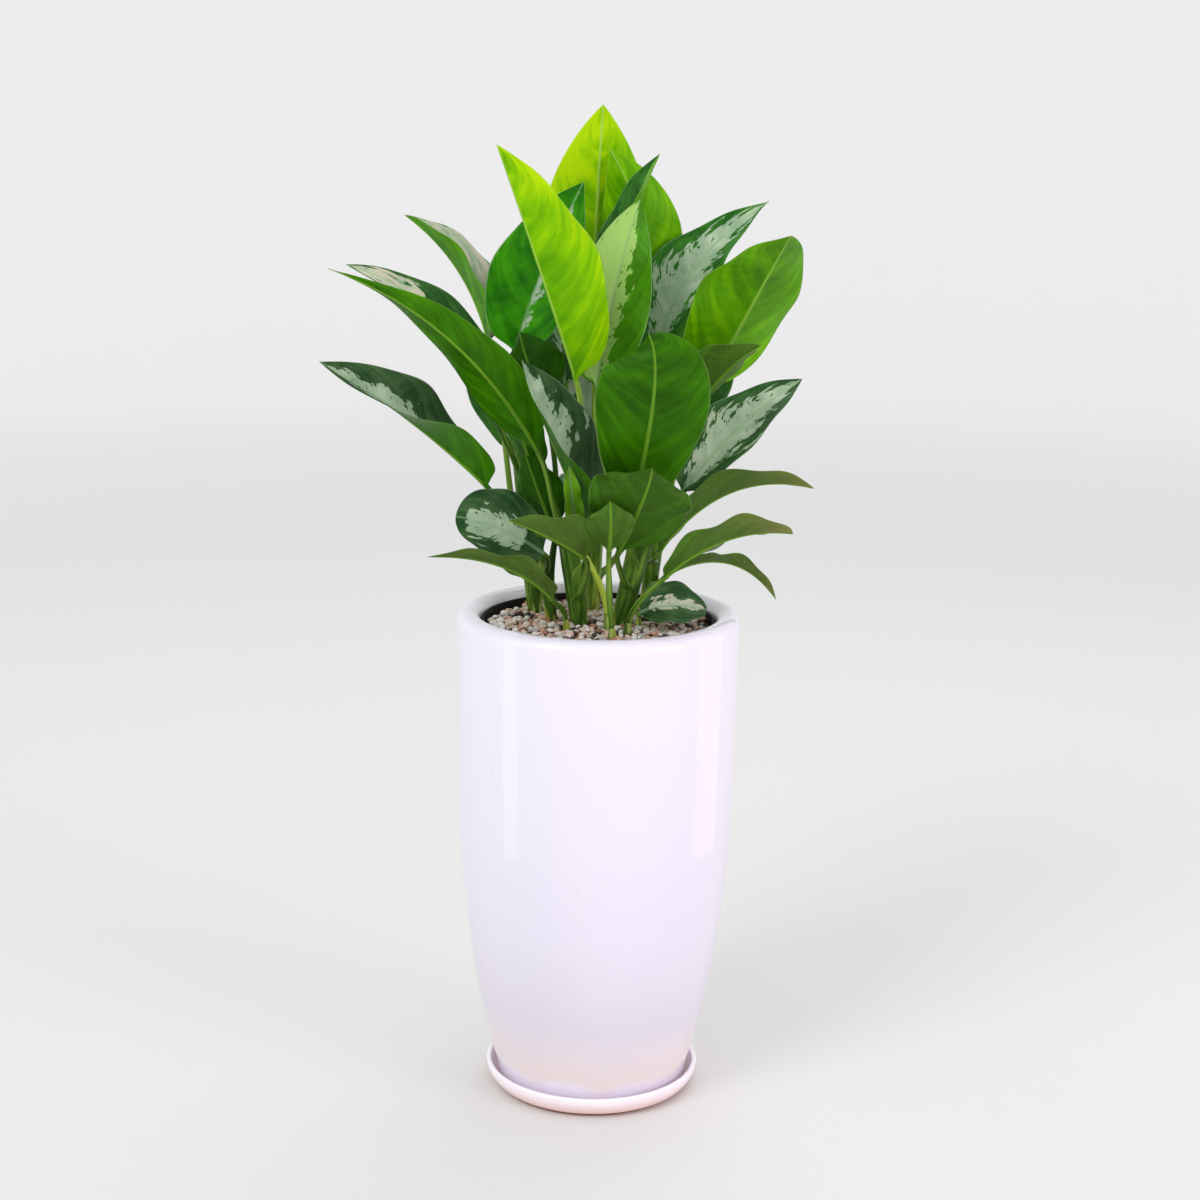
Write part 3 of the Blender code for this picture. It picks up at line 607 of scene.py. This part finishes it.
leafTurns = []  # share of the half width, upper (1) or under (-1) side, and angle round the section
for k in range(leafForm["around"]):
    turn = math.tau * k / leafForm["around"]
    turn = turn - math.tau if turn > math.pi else turn
    flat = 1 - 2 * abs(turn) / math.pi
    face = 0 if abs(flat) > 0.999 else math.copysign(1, turn)
    leafTurns.append((math.copysign(smoothStep(abs(flat)), flat), face, turn))


def bladeRing(leaf, rib, u):
    at, ahead = bezierAt(rib, u)
    up = squareTo(Vector(leaf["face"]), ahead)
    side = ahead.cross(up)
    turn = math.radians(leaf["twist"]) * u * u * (3 - 2 * u)
    across = side * math.cos(turn) + up * math.sin(turn)
    upward = up * math.cos(turn) - side * math.sin(turn)
    length = sum((Vector(leaf[a]) - Vector(leaf[b])).length
                 for a, b in (("neck", "middle"), ("middle", "tip")))
    spread = bladeShare(u, leaf["rise"], leaf["fall"])
    fold = math.radians(leaf["fold"])
    lean, bend = leafForm["veinLean"]
    half = max(leaf["width"] / 2 * spread, leafForm["tipRadius"])
    ribWidth = leafForm["ribWidth"] * (1 - 0.7 * u)
    rounding = 1 - smoothStep(u / leafForm["blend"])
    points = []
    for share, face, angle in leafTurns:
        reach = half * abs(share)
        margin = leaf["wave"] * spread * abs(share) ** 3
        swing = math.sin(math.tau * leaf["waves"] * u + (1.3 if share > 0 else 3.6) + leaf["width"])
        vein = (u * length - lean * abs(share) - bend * abs(share) ** 3) / leafForm["veinSpacing"]
        ridge = 0.5 + noise.noise(Vector((vein * 0.6, share * 2, leaf["width"])))
        quilt = leafForm["quilt"] * ridge * min(1, spread)
        quilt *= math.cos(math.tau * vein) * math.sin(math.pi * abs(share))
        lift = reach * math.sin(fold) + leaf["cup"] * spread * share * share + margin * swing - quilt
        thick = mix(leafForm["bladeThick"], leafForm["rimThick"], abs(share)) / 2 * min(1, half / 3)
        ribHere = leafForm["ribDepth"] * (1 - 0.85 * u) * math.exp(-(reach / ribWidth) ** 2)
        groove = leafForm["groove"] * (1 - 0.7 * u) * math.exp(-(reach / leafForm["grooveWidth"]) ** 2)
        lift += thick - groove if face > 0 else -(thick + ribHere) if face < 0 else 0
        point = at + across * math.copysign(reach * math.cos(fold), share) * mm + upward * lift * mm
        if rounding > 0:
            radius = leafForm["neckRadius"] * mm
            ring = at + side * math.cos(angle) * radius + up * math.sin(angle) * radius
            point = point.lerp(ring, rounding)
        points.append(point)
    return points


def makeLeaf(node, finishes):
    leaf = {**leafUsual, **leaves[node]}
    rib, stem, seat = leafCurves(leaf)
    sheathRows = leafForm["sheathRows"] if leaf["seat"] else 0
    stalkRows = leafForm["stalkRows"] + sheathRows
    bladeRows, around = leafForm["bladeRows"], leafForm["around"]
    rows = stalkRows + bladeRows
    ahead = bezierAt(rib, 0)[1]
    neckAcross = ahead.cross(squareTo(Vector(leaf["face"]), ahead))
    length = (rib[1] - rib[0]).length + (rib[2] - rib[1]).length
    stemLength = sum((a - b).length for a, b in zip(stem, stem[1:]))
    rings, alongs = [], []
    for row in range(rows + 1):
        if row < stalkRows:
            t = row / sheathRows - 1 if row < sheathRows else (row - sheathRows) / leafForm["stalkRows"]
            rings.append(stalkRing(leaf, stem, seat, neckAcross, t))
            alongs.append((t - 1) * stemLength / length)
        else:
            flat = (row - stalkRows) / bladeRows
            u = mix(flat, 0.5 - 0.5 * math.cos(math.pi * flat), 0.6)
            rings.append(bladeRing(leaf, rib, u))
            alongs.append(u)
    bm = bmesh.new()
    tube(bm, rows, around)
    layers = {key: bm.verts.layers.float.new(key)
              for key in ("glow", "age", "deep", "silver", "pale", "blush")}
    shareMap = bm.loops.layers.uv.new("bladeShare")
    sizeMap = bm.loops.layers.uv.new("bladeSize")
    spots = {}
    for vert in bm.verts:
        row = round(vert.co.z * rows)
        k = round(math.atan2(vert.co.y, vert.co.x) / math.tau * around) % around
        share, side, _ = leafTurns[k]
        u = alongs[row]
        spots[vert] = (share, u, row, side)
        # painted light and shade, set per leaf from neck to tip: it stands for light shining through the
        # leaf and for shade inside the plant
        for key in ("glow", "age"):
            vert[layers[key]] = mix(*leaf[key], min(1, max(0, u)))
        # tilt paints one half of the blade lighter than the other: painted side light
        vert[layers["glow"]] += leaf["tilt"] * share
        for key in ("deep", "pale", "blush"):
            vert[layers[key]] = leaf[key]
        reach = leaf["silver"][1] if share > 0 else leaf["silver"][0]
        if abs(share) < 0.02:
            reach = sum(leaf["silver"]) / 2
        first, last = leaf["silverSpan"]
        fade = smoothStep((u - first) / 0.15 + 0.5) * smoothStep((last - u) / 0.15 + 0.5)
        reach *= mix(0.45, 1, smoothStep(u / 0.35)) * mix(1, 0.7, smoothStep((u - 0.8) / 0.2))
        vert[layers["silver"]] = mix(-0.5, reach, fade)
        vert.co = rings[row][k]
    for face in list(bm.faces):
        # both skins of the thin blade are split along the same diagonal, so that they can't cross
        if len(face.verts) == 4:
            corners = sorted(face.verts, key=lambda vert: (spots[vert][2], abs(spots[vert][0])))
            bmesh.utils.face_split(face, corners[1], corners[2])
    for face in bm.faces:
        places = [spots[vert] for vert in face.verts]
        if sum(place[2] for place in places) / len(places) < stalkRows:
            face.material_index = 2
        elif sum(place[3] for place in places) < 0:
            face.material_index = 1
        for loop in face.loops:
            share, u, row, side = spots[loop.vert]
            half = leaf["width"] / 2 * bladeShare(u, leaf["rise"], leaf["fall"]) if u > 0 else 3
            loop[shareMap].uv = (0.5 + share / 2, u)
            loop[sizeMap].uv = (share * half * mm, u * length)
    if leaf["seat"]:
        # the sheath's two skins meet in a thin edge at its foot, so nothing is left to cap there
        foot = {vert for vert in bm.verts if spots[vert][2] == 0}
        cap = [face for face in bm.faces if foot.issuperset(face.verts)]
        bmesh.ops.delete(bm, geom=cap, context="FACES_ONLY")
        bmesh.ops.remove_doubles(bm, verts=list(foot), dist=0.000001)
    if bm.calc_volume(signed=True) < 0:  # its rings may run either way round, so its faces may too
        bmesh.ops.reverse_faces(bm, faces=bm.faces)
    return makePiece(bm, camelName(node), finishes, "leaf", node)


# materials: a pattern's scale is in cells a metre, so 1000 over it is the size of a cell in mm

def makeGlaze(name, height, stops):
    # white tin glaze poured on stoneware: glassy and faintly lavender; its stops run up the piece from
    # its foot. On the pot they hold a painted reflection of the saucer, a warm band low on the wall, and
    # painted shade, a greyer band where the wall curves in; on the saucer they run from warm pink at the
    # foot to near white at the rim
    material, tree, shader = newMaterial(name, {"Roughness": 0.07, "IOR": 1.62})
    place = addNode(tree, "TexCoord", output="Object")
    level = addNode(tree, "SeparateXYZ", {"Vector": place}, output="Z")
    # the glaze ran down the wall in soft runs, about 110 mm apart
    run = addNode(tree, "Mapping", {"Vector": place, "Scale": (9, 9, 1.6)})
    cloud = addNode(tree, "TexNoise", {"Vector": run, "Scale": 1, "Detail": 3})
    wander = addNode(tree, "MapRange", (cloud, 0.3, 0.7, -0.02, 0.02))
    climb = addNode(tree, "MapRange", (level, 0.0, height))
    climb = addNode(tree, "Math", (climb, wander), operation="ADD")
    # the glaze colour, together with the painted reflection and painted shade held in its stops
    body = addNode(tree, "ValToRGB", (climb,), stops=stops)
    # rare pinholes in cells of 3 mm: the real ones are finer, and wouldn't show
    speck = addNode(tree, "TexNoise", {"Vector": place, "Scale": 330, "Detail": 1})
    pinhole = addNode(tree, "MapRange", (speck, 0.82, 0.84))
    tree.links.new(addNode(tree, "MixRGB", (pinhole, body, hexColour("#b9acb4"))),
                   shader.inputs["Base Color"])
    wave = addNode(tree, "TexNoise", {"Vector": run, "Scale": 1.4, "Detail": 2})
    bump = addNode(tree, "Bump", {"Height": wave, "Strength": 0.12, "Distance": 0.01})
    tree.links.new(bump, shader.inputs["Normal"])
    return material


def makeBareClay():
    # unglazed fired clay: dry and rust brown, with grit of about 1 mm
    material, tree, shader = newMaterial("firedClay", {"Roughness": 0.9})
    place = addNode(tree, "TexCoord", output="Object")
    grit = addNode(tree, "TexNoise", {"Vector": place, "Scale": 900, "Detail": 2})
    tint = addNode(tree, "ValToRGB", (grit,), stops=[(0.3, "#8a4a28"), (0.7, "#b87a50")])
    tree.links.new(tint, shader.inputs["Base Color"])
    bump = addNode(tree, "Bump", {"Height": grit, "Strength": 0.4, "Distance": 0.0005})
    tree.links.new(bump, shader.inputs["Normal"])
    return material


def makePlastic():
    # recycled polypropylene, injection moulded: near black, dull, dusted with soil in patches of 17 mm
    material, tree, shader = newMaterial("blackPolypropylene",
                                         {"Roughness": 0.6, "Specular IOR Level": 0.15})
    place = addNode(tree, "TexCoord", output="Object")
    dust = addNode(tree, "TexNoise", {"Vector": place, "Scale": 60, "Detail": 5})
    tint = addNode(tree, "ValToRGB", (dust,), stops=[(0.45, "#100c0b"), (0.7, "#2a2019")])
    tree.links.new(tint, shader.inputs["Base Color"])
    bump = addNode(tree, "Bump", {"Height": dust, "Strength": 0.3, "Distance": 0.0004})
    tree.links.new(bump, shader.inputs["Normal"])
    return material


def makeGround(name, dark, light, grain):
    # loose matter of one grain size, in metres: potting soil or burnt clay pebbles
    material, tree, shader = newMaterial(name, {"Roughness": 0.95})
    place = addNode(tree, "TexCoord", output="Object")
    cells = addNode(tree, "TexVoronoi", {"Vector": place, "Scale": 1 / grain})
    cloud = addNode(tree, "TexNoise", {"Vector": place, "Scale": 0.4 / grain, "Detail": 4})
    share = addNode(tree, "Math", (cells, cloud), operation="MULTIPLY")
    tint = addNode(tree, "ValToRGB", (share,), stops=[(0.1, light), (0.5, dark)])
    tree.links.new(tint, shader.inputs["Base Color"])
    bump = addNode(tree, "Bump", {"Height": cells, "Strength": 0.8, "Distance": grain * 0.3},
                   invert=True)
    tree.links.new(bump, shader.inputs["Normal"])
    return material


def makeStoneFinish():
    # river gravel, tumbled quartz, marble and brick chips: each stone has its own colour and freckles of
    # about 1.4 mm
    material, tree, shader = newMaterial("riverGravel", {"Roughness": 0.62})
    place = addNode(tree, "TexCoord", output="Object")
    tone = addNode(tree, "Attribute", attribute_name="tone", output="Fac")
    kind = addNode(tree, "ValToRGB", (tone,), stops=[
        (0.0, "#f2eeea"), (0.2, "#d9cab6"), (0.33, "#e2bcaa"), (0.46, "#cfa48c"), (0.55, "#b9b6b2"),
        (0.65, "#866552"), (0.74, "#ece4dd"), (0.84, "#3d3530"), (0.92, "#b07a62")])
    kind.node.color_ramp.interpolation = "CONSTANT"
    freckle = addNode(tree, "TexNoise", {"Vector": place, "Scale": 700, "Detail": 3})
    shade = addNode(tree, "MapRange", (freckle, 0.3, 0.7, 0.66, 1.1))
    tinted = addNode(tree, "MixRGB", (1, kind, shade), blend_type="MULTIPLY")
    tree.links.new(tinted, shader.inputs["Base Color"])
    bump = addNode(tree, "Bump", {"Height": freckle, "Strength": 0.3, "Distance": 0.0004})
    tree.links.new(bump, shader.inputs["Normal"])
    return material


def veinNodes(tree):
    # where a point lies on its blade: share of the way to the margin, side veins that leave the midrib
    # and bend up along the margin, the midrib itself and the pale margin, and soft bands of painted
    # highlight and shade that follow the side veins
    shares = addNode(tree, "UVMap", uv_map="bladeShare")
    sizes = addNode(tree, "UVMap", uv_map="bladeSize")
    share = addNode(tree, "SeparateXYZ", {"Vector": shares}, output=None)
    size = addNode(tree, "SeparateXYZ", {"Vector": sizes}, output=None)
    toMargin = addNode(tree, "Math", (share["X"], 2.0, -1.0), operation="MULTIPLY_ADD")
    toMargin = addNode(tree, "Math", (toMargin,), operation="ABSOLUTE")
    across = addNode(tree, "Math", (size["X"],), operation="ABSOLUTE")
    lean, bend = (reach * mm for reach in leafForm["veinLean"])
    leant = addNode(tree, "Math", (toMargin, -lean, size["Y"]), operation="MULTIPLY_ADD")
    bent = addNode(tree, "Math", (toMargin, 3.0), operation="POWER")
    bent = addNode(tree, "Math", (bent, -bend, leant), operation="MULTIPLY_ADD")
    wobble = addNode(tree, "TexNoise", {"Vector": sizes, "Scale": 26, "Detail": 2})  # 38 mm waves
    count = addNode(tree, "Math", (bent, leafForm["veinSpacing"] * mm), operation="DIVIDE")
    phase = addNode(tree, "Math", (wobble, 0.9, count), operation="MULTIPLY_ADD")
    toVein = addNode(tree, "Math", (phase, 0.5), operation="PINGPONG")
    ribHere = addNode(tree, "Math", (share["Y"], -leafForm["ribTaper"] * mm, leafForm["ribHalf"] * mm),
                      operation="MULTIPLY_ADD")
    rib = addNode(tree, "Math", (across, ribHere), operation="DIVIDE")
    rib = addNode(tree, "MapRange", (rib, 0.75, 1.05, 1.0, 0.0))
    feather = addNode(tree, "CombineXYZ", {"X": phase, "Y": toMargin, "Z": share["X"]})
    wave = addNode(tree, "Mapping", {"Vector": feather, "Scale": (0.75, 1.3, 1.5)})
    # painted highlight and shade: soft bands along the side veins, for the light on the puckered blade
    bands = addNode(tree, "TexNoise", {"Vector": wave, "Scale": 1, "Detail": 2})
    vein = addNode(tree, "MapRange", (toVein, 0.0, 0.09, 1.0, 0.0))
    margin = addNode(tree, "MapRange", (toMargin, 0.972, 0.985))
    bands = addNode(tree, "MapRange", (bands, 0.3, 0.7, -1.0, 1.0))
    return {"sizes": sizes, "toMargin": toMargin, "along": share["Y"], "toVein": toVein, "rib": rib,
            "vein": vein, "margin": margin, "feather": feather, "bands": bands}


def veinBump(tree, shader, veins, strength):
    # skin texture in cells of 1.4 mm: real pores are too fine to show
    fine = addNode(tree, "TexNoise", {"Vector": veins["sizes"], "Scale": 700, "Detail": 2})
    fine = addNode(tree, "Math", (fine, 0.5), operation="MULTIPLY")
    relief = addNode(tree, "Math", (veins["toVein"], 1.2, fine), operation="MULTIPLY_ADD")
    bump = addNode(tree, "Bump", {"Height": relief, "Strength": strength, "Distance": 0.0006})
    tree.links.new(bump, shader.inputs["Normal"])


def makeLeafUnder():
    # lower face of a living leaf: satin, with a broad pale rib; the light shining through it and the
    # shade inside the plant are painted into its green, per leaf and in soft bands of painted highlight
    # between its side veins
    material, tree, shader = newMaterial("leafLowerFace",
                                         {"Roughness": 0.38, "Specular IOR Level": 0.06})
    veins = veinNodes(tree)
    glow = addNode(tree, "Attribute", attribute_name="glow", output="Fac")
    age = addNode(tree, "Attribute", attribute_name="age", output="Fac")
    cloud = addNode(tree, "TexNoise", {"Vector": veins["sizes"], "Scale": 18, "Detail": 3})
    # painted light sets how bright the green is and how strongly the painted bands show
    contrast = addNode(tree, "Math", (glow, 0.1, 0.06), operation="MULTIPLY_ADD")
    lit = addNode(tree, "Math", (veins["bands"], contrast, glow), operation="MULTIPLY_ADD")
    lit = addNode(tree, "Math", (lit, addNode(tree, "MapRange", (cloud, 0.3, 0.7, -0.06, 0.06))),
                  operation="ADD")
    edge = addNode(tree, "MapRange", (veins["toMargin"], 0.0, 0.9, -0.05, 0.06))
    lit = addNode(tree, "Math", (lit, edge), operation="ADD")
    lit = addNode(tree, "Math", (veins["vein"], -0.05, lit), operation="MULTIPLY_ADD")
    green = addNode(tree, "ValToRGB", (lit,), stops=[
        (0.0, "#163c03"), (0.2, "#275705"), (0.4, "#3b7904"), (0.6, "#5ba202"), (0.8, "#82c401"),
        (1.0, "#b4e004")])
    patch = addNode(tree, "TexNoise", {"Vector": veins["feather"], "Scale": 0.8, "Detail": 4})
    old = addNode(tree, "Math", (addNode(tree, "MapRange", (patch, 0.3, 0.7, 0.6, 1.0)), age),
                  operation="MULTIPLY")
    olive = addNode(tree, "ValToRGB", (age,), stops=[(0.4, "#556a30"), (0.75, "#5f6a38"),
                                                     (1.0, "#8c8650")])
    aged = addNode(tree, "MixRGB", (old, green, olive))
    # the pale rib is painted lighter on leaves with more painted light
    ribGreen = addNode(tree, "ValToRGB", (glow,), stops=[(0.0, "#3f6418"), (0.4, "#6c9c28"),
                                                         (0.7, "#93c342"), (1.0, "#b6e05a")])
    ribbed = addNode(tree, "MixRGB", (veins["rib"], aged, ribGreen))
    edged = addNode(tree, "MixRGB", (addNode(tree, "Math", (veins["margin"], 0.12),
                                             operation="MULTIPLY"), ribbed, hexColour("#c3dc8c")))
    tree.links.new(edged, shader.inputs["Base Color"])
    veinBump(tree, shader, veins, 0.35)
    return material


def makeLeafUpper():
    # upper face: waxy dark green with a ragged silver field whose lobes follow the side veins
    material, tree, shader = newMaterial("leafUpperFace",
                                         {"Roughness": 0.34, "Specular IOR Level": 0.08})
    veins = veinNodes(tree)
    read = {key: addNode(tree, "Attribute", attribute_name=key, output="Fac")
            for key in ("deep", "silver", "pale", "blush")}
    cloud = addNode(tree, "TexNoise", {"Vector": veins["sizes"], "Scale": 30, "Detail": 4})
    # the tone holds the painted highlight bands as well as the face's own mottling
    tone = addNode(tree, "Math", (veins["bands"], 0.16, cloud), operation="MULTIPLY_ADD")
    bright = addNode(tree, "ValToRGB", (tone,), stops=[(0.3, "#176600"), (0.7, "#3f9a00")])
    dark = addNode(tree, "ValToRGB", (tone,), stops=[(0.3, "#1f4420"), (0.7, "#48693f")])
    green = addNode(tree, "MixRGB", (read["deep"], bright, dark))
    green = addNode(tree, "MixRGB", (addNode(tree, "Math", (read["pale"], 0.3), operation="MULTIPLY"),
                                     green, hexColour("#76ac22")))
    green = addNode(tree, "MixRGB", (addNode(tree, "Math", (veins["vein"], 0.08), operation="MULTIPLY"),
                                     green, hexColour("#7fb070")))
    lobes = addNode(tree, "Mapping", {"Vector": veins["feather"], "Scale": (0.8, 0.6, 9)})
    fray = addNode(tree, "TexNoise", {"Vector": lobes, "Scale": 1, "Detail": 5, "Roughness": 0.5})
    reach = addNode(tree, "Math", (read["silver"], 0.7, 0.12), operation="MULTIPLY_ADD")
    ragged = addNode(tree, "Math", (addNode(tree, "MapRange", (fray, 0.25, 0.75, -1.0, 1.0)), reach),
                     operation="MULTIPLY")
    inside = addNode(tree, "Math", (addNode(tree, "Math", (read["silver"], ragged), operation="ADD"),
                                    veins["toMargin"]), operation="SUBTRACT")
    flecks = addNode(tree, "Mapping", {"Vector": veins["feather"], "Scale": (2.6, 5, 9)})
    fleck = addNode(tree, "TexNoise", {"Vector": flecks, "Scale": 1, "Detail": 3})
    inside = addNode(tree, "Math", (inside, addNode(tree, "MapRange", (fleck, 0.56, 0.68, 0.0, 0.4))),
                     operation="SUBTRACT")
    field = addNode(tree, "Math", (addNode(tree, "MapRange", (inside, -0.012, 0.018)),
                                   addNode(tree, "Math", (read["silver"], 0.02),
                                           operation="GREATER_THAN")), operation="MULTIPLY")
    silver = addNode(tree, "ValToRGB", (tone,), stops=[(0.25, "#86a584"), (0.8, "#bfd0b6")])
    pale = addNode(tree, "MixRGB", (read["pale"], silver, hexColour("#a9d56a")))
    pink = addNode(tree, "Math", (addNode(tree, "MapRange", (fray, 0.4, 0.6)), read["blush"]),
                   operation="MULTIPLY")
    blushed = addNode(tree, "MixRGB", (pink, pale, hexColour("#d8c9b8")))
    patched = addNode(tree, "MixRGB", (field, green, blushed))
    ribbed = addNode(tree, "MixRGB", (addNode(tree, "Math", (veins["rib"], 0.45), operation="MULTIPLY"),
                                      patched, hexColour("#8db482")))
    edged = addNode(tree, "MixRGB", (addNode(tree, "Math", (veins["margin"], 0.3), operation="MULTIPLY"),
                                     ribbed, hexColour("#cfe0c2")))
    tree.links.new(edged, shader.inputs["Base Color"])
    veinBump(tree, shader, veins, 0.4)
    return material


def makeStalkFinish():
    # leaf stalk: fleshy and satin, with pale streaks about 1.6 mm wide that run along it, and painted
    # light taken from its leaf, lighter on the brightly painted leaves
    material, tree, shader = newMaterial("leafStalk", {"Roughness": 0.42, "Specular IOR Level": 0.12})
    sizes = addNode(tree, "UVMap", uv_map="bladeSize")
    glow = addNode(tree, "Attribute", attribute_name="glow", output="Fac")
    drawn = addNode(tree, "Mapping", {"Vector": sizes, "Scale": (620, 9, 1)})
    streak = addNode(tree, "TexNoise", {"Vector": drawn, "Scale": 1, "Detail": 4})
    # the stalk takes its leaf's painted light at the neck
    stalkPaintedLight = addNode(tree, "Math", (glow, 0.85), operation="MULTIPLY")
    light = addNode(tree, "MapRange", (streak, 0.3, 0.7))
    light = addNode(tree, "Math", (light, 0.5, stalkPaintedLight), operation="MULTIPLY_ADD")
    tint = addNode(tree, "ValToRGB", (light,), stops=[
        (0.3, "#2c4d12"), (0.5, "#4d7424"), (0.66, "#769b38"), (0.82, "#9cc046"), (1.0, "#bcd552")])
    tree.links.new(tint, shader.inputs["Base Color"])
    bump = addNode(tree, "Bump", {"Height": streak, "Strength": 0.3, "Distance": 0.0004})
    tree.links.new(bump, shader.inputs["Normal"])
    return material


def makeCaneFinish():
    # green cane under dry leaf sheaths: satin, with streaks about 4 mm wide, and yellowed in patches of
    # about 26 mm
    material, tree, shader = newMaterial("greenCane", {"Roughness": 0.5, "Specular IOR Level": 0.3})
    place = addNode(tree, "TexCoord", output="Object")
    drawn = addNode(tree, "Mapping", {"Vector": place, "Scale": (260, 260, 6)})
    streak = addNode(tree, "TexNoise", {"Vector": drawn, "Scale": 1, "Detail": 3})
    patch = addNode(tree, "TexNoise", {"Vector": place, "Scale": 38, "Detail": 3})
    green = addNode(tree, "ValToRGB", (streak,), stops=[(0.3, "#3c5a1a"), (0.45, "#62822c"),
                                                        (0.58, "#8fab48"), (0.7, "#c9d488")])
    dry = addNode(tree, "Math", (addNode(tree, "MapRange", (patch, 0.47, 0.6)), 0.8),
                  operation="MULTIPLY")
    tree.links.new(addNode(tree, "MixRGB", (dry, green, hexColour("#aaa63a"))),
                   shader.inputs["Base Color"])
    bump = addNode(tree, "Bump", {"Height": streak, "Strength": 0.4, "Distance": 0.0005})
    tree.links.new(bump, shader.inputs["Normal"])
    return material


# put it together

def dressNode(node, material):
    # a solid that keeps its own shape takes a better material
    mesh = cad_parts[node].data
    mesh.materials.clear()
    mesh.materials.append(material)


makeCamera()
makeStudio()
makeLamps()
print("camera, floor and lamps ready")

# dark potting soil; under the gravel it also serves as painted shade in the gaps between the stones
soil = makeGround("pottingSoilAndGapShade", "#1c1410", "#4a382b", 0.003)
dressNode("root_ball", soil)
dressNode("clay_pebbles", makeGround("burntClayPebbles", "#3c1f14", "#9c5a3a", 0.012))
# pot glaze stops: painted reflection of the saucer as a warm band about 40 mm up, painted shade as a
# greyer band about 100 mm up, lavender white above
makePot(makeGlaze("whiteTinGlaze", 0.531, [
    (0.0, "#f0eafc"), (0.05, "#f0e9fa"), (0.075, "#efe0e0"), (0.13, "#eadfe6"), (0.19, "#e2dcea"),
    (0.4, "#eae6f6"), (0.9, "#f0ecfb")]))
makeSaucer(makeGlaze("saucerTinGlaze", 0.024, [
    (0.1, "#f3cfc6"), (0.3, "#f9dad6"), (0.6, "#fcebee"), (0.9, "#fdf8ff")]), makeBareClay())
makeGrowerPot(makePlastic())
print("pots turned")

makeGravelBed(soil)
makeStones(makeStoneFinish())
print("gravel laid")

caneFinish = makeCaneFinish()
for cane in canes:
    makeCane(cane, caneFinish)
leafFinishes = [makeLeafUpper(), makeLeafUnder(), makeStalkFinish()]
for node in leaves:
    makeLeaf(node, leafFinishes)
print("plant grown:", len(canes), "canes and", len(leaves), "leaves")
